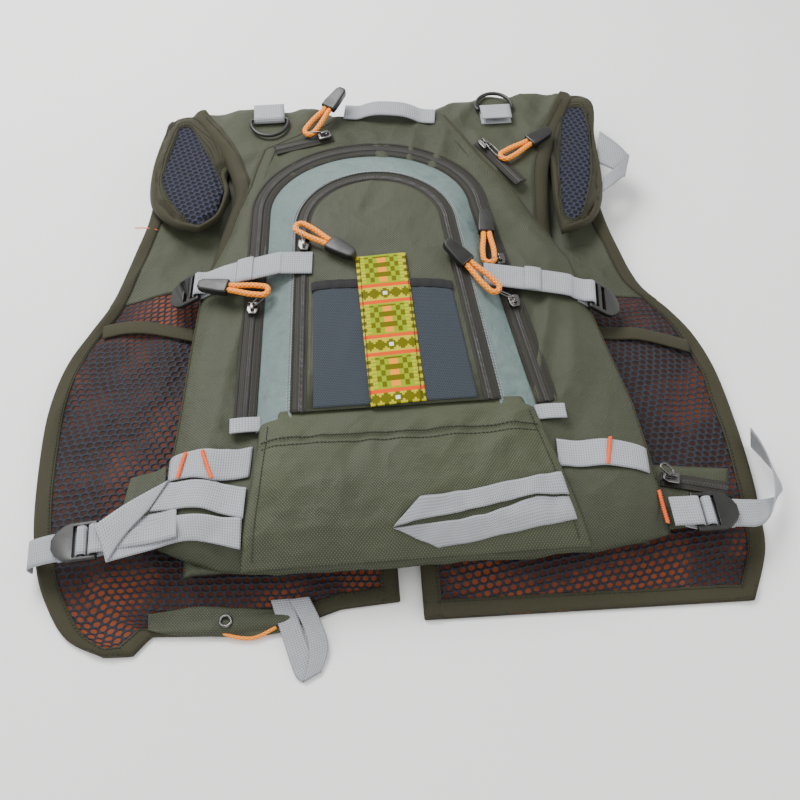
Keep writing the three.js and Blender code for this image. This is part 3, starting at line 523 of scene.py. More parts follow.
def wire_ribs(w, given):
    x, y, _ = w.split(given["Vector"])
    along_rib = w.math("SINE", w.math("MULTIPLY", w.math("DIVIDE", y, given["Pitch"]), TURN))
    side = w.math("MULTIPLY", given["Pitch"], 1.25)
    over = w.math("SINE", w.math("MULTIPLY", w.math("DIVIDE", x, side), TURN))
    knit = w.math("MULTIPLY", along_rib, w.math("MULTIPLY_ADD", over, 0.35, 0.65))
    lifted = w.math("MULTIPLY_ADD", knit, 0.5, 0.5)
    return {"Height": lifted, "Gap": w.ramp(lifted, 0.0, 0.35, 1.0, 0.0)}


def ribs_group():
    return shared_group(
        "Webbing Ribs",
        [("Vector", "Vector", None), ("Pitch", "Float", 0.0018)],
        [("Height", "Float"), ("Gap", "Float")],
        wire_ribs,
    )


def wire_braid(w, given):
    u, v, _ = w.split(given["Vector"])
    climb = w.math("DIVIDE", v, given["Pitch"])
    left = w.math("SINE", w.math("MULTIPLY", w.math("ADD", w.math("MULTIPLY", u, 4.0), climb), TURN))
    right = w.math("SINE", w.math("MULTIPLY", w.math("SUBTRACT", w.math("MULTIPLY", u, 4.0), climb), TURN))
    strands = w.math("MAXIMUM", left, right)
    fleck = w.math("MULTIPLY", w.ramp(left, 0.3, 0.8), w.ramp(right, 0.1, 0.7))
    return {"Height": w.math("MULTIPLY_ADD", strands, 0.5, 0.5), "Fleck": fleck}


def braid_group():
    return shared_group(
        "Braided Cord",
        [("Vector", "Vector", None), ("Pitch", "Float", 0.004)],
        [("Height", "Float"), ("Fleck", "Float")],
        wire_braid,
    )


def wire_grain(w, given):
    fine = w.noise(given["Vector"], 900.0, 2.0)
    rubbed = w.noise(given["Vector"], 45.0, 5.0, 0.65)
    return {"Height": fine, "Rough": w.ramp(rubbed, 0.3, 0.7, given["Smooth"], given["Dull"])}


def grain_group():
    return shared_group(
        "Moulded Grain",
        [("Vector", "Vector", None), ("Smooth", "Float", 0.3), ("Dull", "Float", 0.5)],
        [("Height", "Float"), ("Rough", "Float")],
        wire_grain,
    )


# ---- materials ----
def rgba(value):
    return (*value, 1.0)


def shader(name):
    """New material with its wiring and its Principled shader."""
    finish = bpy.data.materials.new(name)
    finish.use_nodes = True
    w = Wiring(finish.node_tree)
    return finish, w, finish.node_tree.nodes["Principled BSDF"]


def lay(w, source, heading=0.0):
    """Coordinates of a piece in metres: its own flat cloth or its place."""
    where = w.add("ShaderNodeTexCoord").outputs["UV" if source == "cloth" else "Object"]
    if not heading:
        return where
    turned = w.add("ShaderNodeMapping")
    w.join(turned.inputs["Vector"], where)
    turned.inputs["Rotation"].default_value[2] = math.radians(heading)
    return turned.outputs[0]


def bump(w, bsdf, height_value, depth, strength=1.0):
    node = w.add("ShaderNodeBump")
    node.inputs["Strength"].default_value = strength
    node.inputs["Distance"].default_value = depth
    w.join(node.inputs["Height"], height_value)
    w.join(bsdf.inputs["Normal"], node.outputs[0])


def sheen(bsdf, weight, tint=(1, 1, 1), rough=0.4):
    bsdf.inputs["Sheen Weight"].default_value = weight
    bsdf.inputs["Sheen Tint"].default_value = rgba(tint)
    bsdf.inputs["Sheen Roughness"].default_value = rough


def woven_cloth(name, tint, source="cloth", heading=0.0, light=3.4, pitch=None, depth=0.00028, gloss=0.54):
    """Outer cloth: small raised squares that catch the light, painted lighter as a painted highlight, with
    handled shading.
    """
    finish, w, bsdf = shader(name)
    where = lay(w, source, heading)
    weave = w.group(weave_group(), Vector=where, Pitch=pitch or sizes().weave_pitch)
    place = lay(w, "place")
    worn = tuple(min(1.0, c * 1.35) for c in tint)
    shaded = w.group(handled_group(), Vector=place, Color=rgba(tint), Worn=rgba(worn), Amount=0.22)
    # raised weave squares blended towards light times the tint: painted highlight
    painted_highlight = rgba(min(1.0, c * light) for c in tint)
    raised = w.math("MULTIPLY", weave["Raised"], 0.75)
    w.join(bsdf.inputs["Base Color"], w.blend(raised, shaded["Color"], painted_highlight))
    w.join(bsdf.inputs["Roughness"], w.math("MULTIPLY_ADD", shaded["Shade"], 0.12, gloss))
    soft = w.noise(place, 160.0, 3.0)
    crumple = w.noise(place, 24.0, 4.0, 0.55)
    lifted = w.math("MULTIPLY_ADD", soft, 0.6, weave["Height"])
    pinched = w.math("ABSOLUTE", w.math("SUBTRACT", w.noise(place, 13.0, 2.0, 0.4), 0.5))
    folded = w.math("MULTIPLY_ADD", pinched, -44.0, w.math("MULTIPLY_ADD", crumple, 20.0, lifted))
    bump(w, bsdf, folded, depth)
    sheen(bsdf, 0.05, worn)
    bsdf.inputs["Specular IOR Level"].default_value = 0.42
    return finish


def holed_cloth(name, thread, behind, source, pitch, size, stretch=0.866, depth=0.0012, patchy=0.0,
                heading=0.0, lined=None):
    """Net: a knitted sheet with rows of round holes that show the cloth behind, darkened in noise patches as
    painted shade, with a painted highlight on the raised knit.
    """
    finish, w, bsdf = shader(name)
    where = lay(w, source, heading)
    holes = w.group(holes_group(), Vector=where, Pitch=pitch, Size=size, Stretch=stretch)
    place = lay(w, "place")
    knit = w.group(weave_group(), Vector=where, Pitch=pitch * 0.17)
    # raised knit threads blended up to 1.8 times the thread colour: painted highlight
    thread_with_painted_highlight = w.blend(knit["Raised"], rgba(thread), rgba(min(1.0, c * 1.8) for c in thread))
    patch = w.ramp(w.noise(place, 13.0, 4.0), 0.38, 0.56)
    # between hem and chest the holes take more of the painted shade
    if lined:
        _, lengthwise, _ = w.split(place)
        hem, chest = (SHIFT.y + lined[0] * MM), (SHIFT.y + lined[1] * MM)
        lower = w.ramp(lengthwise, hem - 0.012, hem + 0.012)
        upper = w.ramp(lengthwise, chest - 0.006, chest + 0.006, 1.0, 0.0)
        doubled = w.math("MULTIPLY", lower, upper)
        uneven = w.math("MULTIPLY", doubled, w.math("MULTIPLY_ADD", patch, 0.32, 0.62))
        patch = w.math("MAXIMUM", w.math("MULTIPLY", patch, 0.8), uneven)
    # holes blended towards 5 % of the cloth behind in noise patches: painted shade
    dark = rgba(c * 0.05 for c in behind)
    holes_painted_shade = w.blend(w.math("MULTIPLY", patch, patchy), rgba(behind), dark) if patchy else rgba(behind)
    w.join(bsdf.inputs["Base Color"], w.blend(holes["Hole"], thread_with_painted_highlight, holes_painted_shade))
    bsdf.inputs["Roughness"].default_value = 0.62
    bsdf.inputs["Specular IOR Level"].default_value = 0.22
    crumple = w.noise(place, 26.0, 3.0, 0.5)
    lifted = w.math("MULTIPLY_ADD", knit["Height"], 0.08, holes["Height"])
    bump(w, bsdf, w.math("MULTIPLY_ADD", crumple, 7.0 if lined else 0.0, lifted), depth)
    sheen(bsdf, 0.03)
    return finish


def ribbed_tape(name, tint, pitch=0.0018, source="cloth", gloss=0.7, depth=0.0003, heading=0.0, dark=0.45):
    """Webbing or tape: rows of ribs, with painted shade in the gaps between them."""
    finish, w, bsdf = shader(name)
    where = lay(w, source, heading)
    ribs = w.group(ribs_group(), Vector=where, Pitch=pitch)
    place = lay(w, "place")
    worn = rgba(min(1.0, c * 1.25) for c in tint)
    shaded = w.group(handled_group(), Vector=place, Color=rgba(tint), Worn=worn, Amount=0.12)
    # gaps between the ribs blended towards dark times the tint: painted shade
    gap = rgba(c * dark for c in tint)
    w.join(bsdf.inputs["Base Color"], w.blend(w.math("MULTIPLY", ribs["Gap"], 0.85), shaded["Color"], gap))
    w.join(bsdf.inputs["Roughness"], w.math("MULTIPLY_ADD", shaded["Shade"], 0.1, gloss - 0.05))
    bump(w, bsdf, ribs["Height"], depth)
    bsdf.inputs["Specular IOR Level"].default_value = 0.25
    sheen(bsdf, 0.04)
    return finish


def satin_cloth():
    finish, w, bsdf = shader("sage satin")
    place = lay(w, "place")
    tint = tuple(colours().sage)
    worn = rgba(min(1.0, c * 1.3) for c in tint)
    shaded = w.group(handled_group(), Vector=place, Color=rgba(tint), Worn=worn, Amount=0.14)
    thread = w.group(weave_group(), Vector=lay(w, "cloth", 38), Pitch=0.0011)
    w.join(bsdf.inputs["Base Color"], shaded["Color"])
    w.join(bsdf.inputs["Roughness"], w.math("MULTIPLY_ADD", shaded["Shade"], 0.14, 0.42))
    crush = w.noise(place, 60.0, 4.0)
    bump(w, bsdf, w.math("MULTIPLY_ADD", crush, 7.0, w.math("MULTIPLY", thread["Height"], 0.3)), 0.0006)
    sheen(bsdf, 0.25, worn[:3], 0.3)
    return finish


def braided_cord():
    finish, w, bsdf = shader("orange cord")
    braid = w.group(braid_group(), Vector=lay(w, "cloth"), Pitch=0.0042)
    tint = tuple(colours().cord)
    # low parts of the braid blended towards 0.72 of the cord colour: painted shade in the grooves
    dark = rgba(c * 0.72 for c in tint)
    base = w.blend(w.ramp(braid["Height"], 0.35, 0.9), dark, rgba(tint))
    fleck = w.math("MULTIPLY", braid["Fleck"], 0.85)
    w.join(bsdf.inputs["Base Color"], w.blend(fleck, base, (1.0, 0.60, 0.08, 1)))
    bsdf.inputs["Roughness"].default_value = 0.6
    bump(w, bsdf, braid["Height"], 0.0005)
    sheen(bsdf, 0.1, (1, 0.5, 0.1))
    return finish


def moulded(name, tint, smooth, dull, metal=0.0, depth=0.00005):
    finish, w, bsdf = shader(name)
    place = lay(w, "place")
    grain = w.group(grain_group(), Vector=place, Smooth=smooth, Dull=dull)
    worn = rgba(min(1.0, c * 1.5 + 0.004) for c in tint)
    shaded = w.group(handled_group(), Vector=place, Color=rgba(tint), Worn=worn, Amount=0.3)
    w.join(bsdf.inputs["Base Color"], shaded["Color"])
    w.join(bsdf.inputs["Roughness"], grain["Rough"])
    bsdf.inputs["Metallic"].default_value = metal
    bump(w, bsdf, grain["Height"], depth)
    return finish


def dyed_band():
    """Band with the colours of its own woven draft."""
    finish, w, bsdf = shader("patterned band")
    dye = w.add("ShaderNodeAttribute", attribute_name="dye")
    ribs = w.group(ribs_group(), Vector=lay(w, "cloth"), Pitch=0.0011)
    # gaps between the ribs blended up to 0.35 towards dark olive: painted shade
    shaded = w.blend(w.math("MULTIPLY", ribs["Gap"], 0.35), dye.outputs["Color"], (0.10, 0.09, 0.03, 1))
    w.join(bsdf.inputs["Base Color"], shaded)
    bsdf.inputs["Roughness"].default_value = 0.75
    bump(w, bsdf, ribs["Height"], 0.0002)
    bsdf.inputs["Specular IOR Level"].default_value = 0.15
    return finish


def plain_floor():
    finish, w, bsdf = shader("pale floor")
    place = lay(w, "place")
    tint = tuple(bpy.context.scene.vest_stage.floor)
    shaded = w.group(handled_group(), Vector=place, Color=rgba(tint), Worn=rgba(tint), Amount=0.01)
    w.join(bsdf.inputs["Base Color"], shaded["Color"])
    bsdf.inputs["Roughness"].default_value = 0.9
    return finish


def finishes():
    """Every material of the vest by its plain name, made once."""
    c, s = colours(), sizes()
    green, binding = tuple(c.green), tuple(c.binding)
    makers = {
        "green ripstop": lambda n: woven_cloth(n, green),
        # the same green at 1.3 times, for the lower panel: painted light
        "green ripstop worn": lambda n: woven_cloth(n, tuple(v * 1.3 for v in green)),
        "green ripstop laid flat": lambda n: woven_cloth(n, green, "place", 4),
        "green binding": lambda n: ribbed_tape(n, binding, 0.0013, gloss=0.72),
        "sage satin": lambda n: satin_cloth(),
        "net over lining": lambda n: holed_cloth(
            n, tuple(c.net), tuple(c.lining), "cloth", s.net_pitch, 0.30, patchy=1.0, heading=12,
            lined=(-236, 20)),
        # the near black seen through the shoulder mesh's holes is painted shade
        "shoulder mesh": lambda n: holed_cloth(
            n, tuple(c.pad), (0.002, 0.002, 0.004), "place", s.pad_pitch, 0.24, 0.72, 0.002, heading=20),
        # the dark seen through the pocket mesh's holes is painted shade
        "pocket mesh": lambda n: holed_cloth(
            n, tuple(c.pocket), (0.014, 0.017, 0.022), "cloth", 0.0021, 0.22, depth=0.0004),
        "zip tape": lambda n: ribbed_tape(n, tuple(c.zip), 0.0014, gloss=0.6),
        "zip teeth": lambda n: moulded(n, tuple(v * 0.6 for v in c.zip), 0.5, 0.7),
        "grey webbing": lambda n: ribbed_tape(n, tuple(c.webbing), 0.0021, depth=0.0005, dark=0.25),
        "black elastic": lambda n: ribbed_tape(n, (0.012, 0.012, 0.013), 0.0016),
        "orange cord": lambda n: braided_cord(),
        "orange thread": lambda n: moulded(n, (c.cord[0] * 0.9, c.cord[1] * 0.4, 0.0), 0.5, 0.7),
        "green thread": lambda n: moulded(n, tuple(v * 0.8 for v in green), 0.6, 0.75),
        "grey thread": lambda n: moulded(n, tuple(v * 0.85 for v in c.webbing), 0.6, 0.75),
        "patterned band": lambda n: dyed_band(),
        "black plastic": lambda n: moulded(n, tuple(c.plastic), 0.32, 0.5),
        "plated metal": lambda n: moulded(n, tuple(c.metal), 0.18, 0.35, 1.0, 0.00002),
    }
    return {
        name: bpy.data.materials.get(name) or maker(name)
        for name, maker in makers.items()
    }


# ---- shapes in the vest's frame, in millimetres ----
LEFT_FRONT = {
    "outer": [(-258, -299), (-288, -282), (-308, -250), (-320, -215), (-327, -165), (-328, -90), (-324, -45),
              (-313, -3), (-294, 32), (-274, 68), (-254, 125), (-240, 170), (-232, 235), (-222, 306)],
    "inner": [(-14, -270), (-14, -120), (-14, 20), (-14, 110), (-40, 190), (-95, 260), (-130, 306)],
    "hem": [(0, 0), (0.1, -4), (0.16, 10), (0.4, -1), (0.65, -4), (0.8, 3), (1, 0)],
}
RIGHT_FRONT = {
    "outer": [(283, -293), (304, -250), (309, -215), (312, -175), (312, -120), (308, -60), (297, -16),
              (280, 16), (257, 48), (244, 95), (236, 135), (232, 180), (231, 240), (233, 306)],
    "inner": [(6, -288), (8, -120), (8, 20), (8, 110), (35, 190), (95, 260), (140, 306)],
    "hem": [(0, 0), (0.5, 0), (1, 0)],
}
HEM_TOP = 4.6
FRONT_EDGE_TOP = [(-298, HEM_TOP), (-180, 9), (0, 14), (74, 19), (125, 26), (180, FRONT_HIGH)]
FRONT_MID_TOP = [(132, FRONT_TOP), (200, FRONT_HIGH)]
RAMP = (120, 195)
BACK_LEFT = [(-192, -246), (-186, -100), (-180, 60), (-172, 112), (-160, 150), (-150, 184),
             (-165, 240), (-200, 303)]
BACK_RIGHT = [(200, -246), (196, -100), (186, 60), (176, 106), (178, 150), (184, 197), (205, 250),
              (233, 303)]
COLLAR = [(0, 0), (0.1, 9), (0.3, 2), (0.38, -6), (0.5, -36), (0.58, -22), (0.67, 4), (0.9, 9), (1, 2)]
PACK_LEFT = [(-254, -212), (-228, -213), (-195, -211), (-160, -208), (-114, -202), (-14, -192),
             (60, -183), (118, -160), (150, -150), (181, -137), (205, -131), (235, -122),
             (255, -86), (282, -50)]
PACK_RIGHT = [(-254, 217), (-228, 218), (-195, 217), (-160, 216), (-114, 213), (-14, 197),
              (60, 187), (118, 162), (150, 148), (181, 131), (205, 116), (235, 103), (255, 94),
              (282, 82)]
PACK_ROUND = [(-254, 1), (-243, 0.7), (-228, 0.45), (-212, 0.2), (-195, 0)]
PACK_BOTTOM = [(0, 32), (0.06, 18), (0.12, 8), (0.2, 2), (0.3, 0), (0.7, 0), (0.85, 1), (0.94, 6), (1, 12)]
PACK_CROWN = [(-254, 0.10), (-243, 0.45), (-228, 0.74), (-212, 0.93), (-195, 1), (240, 1), (255, 0.96),
              (282, 0.93)]
LOWER_LEFT = [(-251, -142), (-228, -139), (-195, -133), (-150, -126), (-130.5, -124)]
LOWER_RIGHT = [(-251, 147), (-228, 141), (-195, 132), (-150, 121), (-130.5, 117)]
LOWER_RISE = [(-251, 0.14), (-243, 0.19), (-228, 0.34), (-212, 0.42), (-195, 0.62), (-175, 0.83),
              (-150, 0.97), (-130.5, 1)]
PANEL_RISE = 19.2
OUTER_ARCH = {"foot": (-137, 130), "spring": (-122, 100), "foot_y": -118, "spring_y": 132, "top_y": 222}
INNER_ARCH = {"foot": (-87, 77), "spring": (-77, 62), "foot_y": -125, "spring_y": 92, "top_y": 157}

# Single folds of each cloth: start, end, width and height, where a height below 0 is sunk.
FOLD_LIMIT = 3.4
YOKE_FOLDS = (((-55, 300), (-150, 225), 9, 2.6), ((96, 262), (168, 180), 8, 2.4))
PACK_FOLDS = (
    ((-148, 170), (-175, 60), 8, 2.4), ((120, 170), (172, 40), 9, 2.2),
    ((-190, -60), (-168, -190), 10, 2.6), ((196, -60), (150, -150), 9, -2.2),
    ((-70, 268), (-20, 236), 7, 2.0), ((84, 262), (50, 238), 7, 2.2),
    ((150, 128), (108, 146), 6, 2.6), ((176, 90), (124, 112), 7, 2.8),
    ((-176, 86), (-136, 128), 7, 2.8), ((170, -30), (150, -96), 8, 2.4),
)
PANEL_FOLDS = (((-40, 130), (-30, 40), 9, 2.0), ((30, 140), (50, 55), 9, 2.4))
LOWER_FOLDS = (
    ((-118, -150), (-100, -215), 8, 2.8), ((104, -150), (60, -178), 8, 2.6),
    ((112, -160), (120, -235), 7, -2.4), ((-60, -160), (-75, -230), 12, 1.8),
)


def back_top(y):
    return mix(BACK_TOP, YOKE_TOP, clamp((y - RAMP[0]) / (RAMP[1] - RAMP[0])))


def pack_top(y):
    return mix(BACK_TOP, PACK_TOP, along(PACK_CROWN, y))


def front_place(side):
    """Place in the vest's frame on a front panel, from its outer edge and its hem."""
    outer, inner = runner(side["outer"]), runner(side["inner"])

    def place(u, v):
        spot = outer(v).lerp(inner(v), u)
        edge, middle = along(FRONT_EDGE_TOP, spot.y), along(FRONT_MID_TOP, spot.y)
        high = mix(edge, middle, ease(u / 0.3))
        z = mix(HEM_TOP, high, ease(v / 0.14))
        y = spot.y + along(side["hem"], u) * (1 - clamp(v / 0.14))
        loose = ease(u / 0.06) * ease((0.72 - u) / 0.4) * ease(v / 0.05)
        wave = 3.4 * creases(spot.x, y, 66, 120, 38, 3) + 2.4 * ripple(spot.x, y, 30, 5) - 2.6
        return Vector((spot.x, y, max(3.2, z - 0.4 + loose * max(-3.4, wave))))

    place.width = lambda v: (outer(v) - inner(v)).length
    place.length = outer.length
    return place


def arch_line(arch, offset, foot_y=None, steps=64):
    """Arch moved outwards by an offset, from its left foot to its right foot."""
    left, right = arch["spring"]
    middle, half = (left + right) / 2, (right - left) / 2 + offset
    rise = arch["top_y"] - arch["spring_y"] + offset
    foot = arch["foot_y"] if foot_y is None else foot_y
    points = [(arch["foot"][0] - offset, foot)]
    for k in range(steps + 1):
        angle = math.pi * (1 - k / steps)
        points.append((middle + half * math.cos(angle), arch["spring_y"] + rise * math.sin(angle)))
    return points + [(arch["foot"][1] + offset, foot)]


# ---- stitches and tapes ----
def stitched(name, lines, finish, body="root", lift=0.35, pitch=None, long=None, wide=0.7):
    """Rows of small thread stitches along lines in millimetres."""
    pitch = pitch or sizes().stitch_pitch / MM
    long = long or sizes().stitch_length / MM
    bm = bmesh.new()
    bm.loops.layers.uv.new("UVMap")
    for line in lines:
        spot = runner(line, False)
        count = max(1, int(spot.length / pitch))
        for k in range(count):
            middle = spot((k + 0.5) / count)
            ahead = (spot((k + 0.7) / count) - spot((k + 0.3) / count)).normalized()
            side = Vector((0, 0, 1)).cross(ahead).normalized()
            up = ahead.cross(side)
            turn = Matrix((ahead * long, side * wide, up * wide)).transposed().to_4x4()
            seat = Matrix.Translation(at(middle.x, middle.y, middle.z + lift))
            bmesh.ops.create_cube(bm, size=1.0, matrix=seat @ Matrix.Scale(MM, 4) @ turn)
    return piece(name, bm, finish, body, levels=0)


def bar_tack(place, heading, width):
    """Dense zigzag of orange thread across a strap: lines for one mesh."""
    c, s = math.cos(math.radians(heading)), math.sin(math.radians(heading))
    points = []
    count = int(width / 1.1)
    for k in range(count + 1):
        along_it = mix(-width / 2, width / 2, k / count)
        out = 1.5 if k % 2 else -1.5
        points.append(Vector((place[0] + c * along_it - s * out, place[1] + s * along_it + c * out, place[2])))
    return points


# ---- operators ----
class VestStep(bpy.types.Operator):
    """One step of the vest"""

    bl_options = {"REGISTER", "UNDO"}

    def execute(self, context):
        self.build(finishes())
        return {"FINISHED"}

    def build(self, finish):
        raise NotImplementedError


class VEST_OT_stage(VestStep):
    """Camera, floor and soft studio light"""

    bl_idname = "vest.stage"
    bl_label = "Stage"

    def build(self, finish):
        scene = bpy.context.scene
        camera = bpy.data.objects.new("camera", bpy.data.cameras.new("camera"))
        scene.collection.objects.link(camera)
        camera.data.lens, camera.data.sensor_width = 46.0, 36.0
        camera.location = at(-42.5, -622.4, 801.3)
        gaze = at(0, -105, 60) - camera.location
        camera.rotation_euler = gaze.to_track_quat("-Z", "Y").to_euler()
        scene.camera = camera

        bm = bmesh.new()
        bm.loops.layers.uv.new("UVMap")
        bmesh.ops.create_grid(bm, x_segments=4, y_segments=4, size=6.0)
        mesh = bpy.data.meshes.new("floor")
        bm.to_mesh(mesh)
        bm.free()
        mesh.materials.append(bpy.data.materials.get("pale floor") or plain_floor())
        floor = bpy.data.objects.new("floor", mesh)
        scene.collection.objects.link(floor)

        settings = scene.vest_stage
        for name, spot, size, power in (
            ("key light", (-0.55, 0.95, 1.35), 1.0, settings.key),
            ("left light", (-1.6, -0.3, 1.0), 1.2, settings.fill),
            ("right light", (1.6, -0.2, 1.1), 1.2, settings.fill),
            ("front light", (0.1, -1.7, 1.3), 1.4, settings.fill * 0.8),
        ):
            data = bpy.data.lights.new(name, "AREA")
            data.shape, data.size, data.energy = "DISK", size, power
            light = bpy.data.objects.new(name, data)
            light.location = spot
            light.rotation_euler = (-Vector(spot)).to_track_quat("-Z", "Y").to_euler()
            scene.collection.objects.link(light)
        world = bpy.data.worlds.new("studio")
        world.use_nodes = True
        world.node_tree.nodes["Background"].inputs["Color"].default_value = (1, 1, 1, 1)
        world.node_tree.nodes["Background"].inputs["Strength"].default_value = 0.8
        scene.world = world


class VEST_OT_fronts(VestStep):
    """Front panels: net over an orange lining, green cloth above and edge bindings"""

    bl_idname = "vest.fronts"
    bl_label = "Front panels"

    def build(self, finish):
        wide = sizes().binding_width / MM
        for name, side, top_share in (("left", LEFT_FRONT, 0.615), ("right", RIGHT_FRONT, 0.545)):
            place = front_place(side)

            def net(u, v, place=place, top_share=top_share):
                return at(*place(u, v * top_share)) - Vector((0, 0, 0.0006))

            def cloth(u, v, place=place, top_share=top_share):
                spot = place(u, mix(top_share - 0.004, 1, v))
                return at(*spot) + Vector((0, 0, 0.0002 * (1 - v)))

            width, size = 0.25, place.length * MM
            net_mesh = draped(56, 96, net, (width, size * top_share))
            cloth_mesh = draped(48, 60, cloth, (width, size * (1 - top_share)))
            for part, mesh, look, slot, shell, stands_for in (
                ("net", net_mesh, "net over lining", "lined_net", 1.8, [f"front_panel_{name}"]),
                ("cloth", cloth_mesh, "green ripstop", "green_fabric", 2.2, ()),
            ):
                cut, area = cut_size(mesh)
                made = piece(f"front_{part}_{name}", mesh, finish[look], stands_for=stands_for,
                             shell=shell)
                ground(made)

            def binding(edge, place=place):
                """Tape folded over one edge: 0 the outer edge, 1 the inner edge, 2 the hem."""
                def laid_out(u, v):
                    lift = 0.5 + 0.9 * math.sin(math.pi * clamp(u * 1.1))
                    if edge == 2:
                        spot = place(v, u * wide / place.length)
                        out = Vector((0, -1, 0))
                    else:
                        reach = u * wide / place.width(v)
                        spot = place(reach if edge == 0 else 1 - reach, v)
                        out = Vector((-1 if (edge == 0) == (spot.x < 0) else 1, 0, 0))
                    tuck = clamp(1 - u * 7)
                    return at(*(spot + out * tuck * 0.8 + Vector((0, 0, lift - 2.4 * tuck * tuck))))
                long = place.length if edge < 2 else place.width(0)
                return draped(10, int(long / 5), laid_out, (wide * MM, long * MM))

            bound = joined(binding(0), binding(1), binding(2))
            ground(piece(f"front_binding_{name}", bound, finish["green binding"],
                         shell=1.4))
            rows = []
            for edge in (0, 1, 2):
                line = []
                for k in range(121):
                    v = k / 120
                    if edge == 2:
                        spot = place(v, 0.86 * wide / place.length)
                    else:
                        reach = 0.86 * wide / place.width(v)
                        spot = place(reach if edge == 0 else 1 - reach, v)
                    line.append(spot + Vector((0, 0, 0.95)))
                rows.append(line)
            stitched(f"front_stitches_{name}", rows, finish["green thread"], lift=0.1)

        bands = []
        for line, name in (([(-281, 28), (-258, 30), (-232, 26), (-190, 13)], "left"),
                           ([(190, -14), (214, -17), (243, -20), (288, -33)], "right")):
            place = front_place(LEFT_FRONT if name == "left" else RIGHT_FRONT)
            spot = runner(line)

            def cross_tape(u, v, spot=spot):
                middle = spot(v)
                y = middle.y + (u - 0.5) * 15
                edge, mid = along(FRONT_EDGE_TOP, y), FRONT_TOP
                share = clamp((310 - abs(middle.x)) / 80)
                return at(middle.x, y, mix(edge, mid, ease(share)) + 1.2 + 0.8 * math.sin(math.pi * u))
            bands.append(draped(8, 24, cross_tape, (0.015, spot.length * MM)))
        piece("front_cross_tapes", joined(*bands), finish["green binding"], shell=1.2)


class VEST_OT_back(VestStep):
    """Back panel with the yoke over the shoulders"""

    bl_idname = "vest.back"
    bl_label = "Back and yoke"

    def build(self, finish):
        left, right = runner(BACK_LEFT), runner(BACK_RIGHT)

        def spot(u, v):
            p = left(v).lerp(right(v), u)
            p.y += along(COLLAR, u) * ease((v - 0.82) / 0.18)
            return p

        def place(u, v):
            p = spot(u, v)
            z = back_top(p.y)
            rim = min(u, 1 - u) * 2.2
            shoulder = ease((p.y - 175) / 60)
            wave = 3.4 * creases(p.x, p.y, 62, 90, 32, 11) + 2.2 * creases(p.x, p.y, 118, 80, 24, 23) - 3.0
            wave += 1.1 * ripple(p.x, p.y, 26, 4)
            wave += folds(p.x, p.y, YOKE_FOLDS)
            hang = -7 * (1 - clamp(rim / 0.045)) ** 2 - 3.0 * (1 - clamp((1 - v) / 0.03)) ** 2
            lift = shoulder * calm(p.x, p.y) * min(FOLD_LIMIT, 1.5 * wave * ease(rim / 0.1))
            return at(p.x, p.y, z + hang + lift)

        made = piece("yoke_cloth", draped(96, 120, place, (0.42, 0.56)), finish["green ripstop"],
                     stands_for=["back_panel"], shell=4.0)
        ground(made)
        rows, tapes = [], []
        for side, sign in ((0, 1), (1, -1)):
            def tape(u, v, side=side, sign=sign):
                share = mix(0.60, 1.0, v)
                line = (left if side == 0 else right)(share)
                x = line.x + sign * (u * 18 - 1)
                p = Vector((x, line.y + 2 * ease((share - 0.82) / 0.18) * 4, 0))
                tuck = clamp(1 - u * 6)
                near, far = sorted((line.x + sign * 2, line.x + sign * 40))
                top = max(height(clamp(x, near, far), min(p.y, 300), "yoke_cloth"), back_top(p.y) - 12)
                return at(p.x, min(p.y, 312), top + 0.9 - 3.5 * tuck * tuck)
            tapes.append(draped(8, 50, tape, (0.018, 0.24)))
            line = []
            for k in range(60):
                share = mix(0.61, 0.99, k / 59)
                edge = (left if side == 0 else right)(share)
                x = edge.x + sign * 14.5
                top = max(height(x, min(edge.y, 300), "yoke_cloth"), back_top(edge.y) - 12)
                line.append(Vector((x, edge.y, top + 1.0)))
            rows.append(line)
        piece("yoke_binding", joined(*tapes), finish["green binding"], shell=1.4)
        stitched("yoke_stitches", rows, finish["green thread"])


PAD_LEFT = [(-187, 136), (-216, 148), (-238, 178), (-240, 232), (-230, 288), (-219, 312), (-160, 310),
            (-148, 245), (-160, 214), (-157, 190), (-167, 153)]
PAD_RIGHT = [(184, 104), (214, 116), (232, 142), (241, 185), (245, 245), (251, 311), (190, 310),
             (184, 250), (188, 203), (184, 150)]


MESH_LEFT = [(-212, 287), (-199, 286), (-182, 245), (-167, 206), (-160, 176), (-166, 142), (-180, 138),
             (-198, 147), (-216, 174), (-226, 202), (-224, 225), (-216, 262)]
MESH_RIGHT = [(216, 284), (236, 286), (238, 246), (229, 192), (220, 159), (208, 126), (198, 118),
              (190, 124), (191, 150), (196, 191), (206, 243)]


def radial(outline):
    """Middle of an outline, and its distance from there by direction."""
    middle = sum((Vector((x, y, 0)) for x, y in outline), Vector()) / len(outline)
    loop = runner(outline + outline[:1])
    table = []
    for k in range(240):
        p = loop(k / 240) - middle
        table.append((math.atan2(p.y, p.x), p.length))
    table.sort()
    table = [(table[-1][0] - TURN, table[-1][1])] + table + [(table[0][0] + TURN, table[0][1])]
    return middle, table


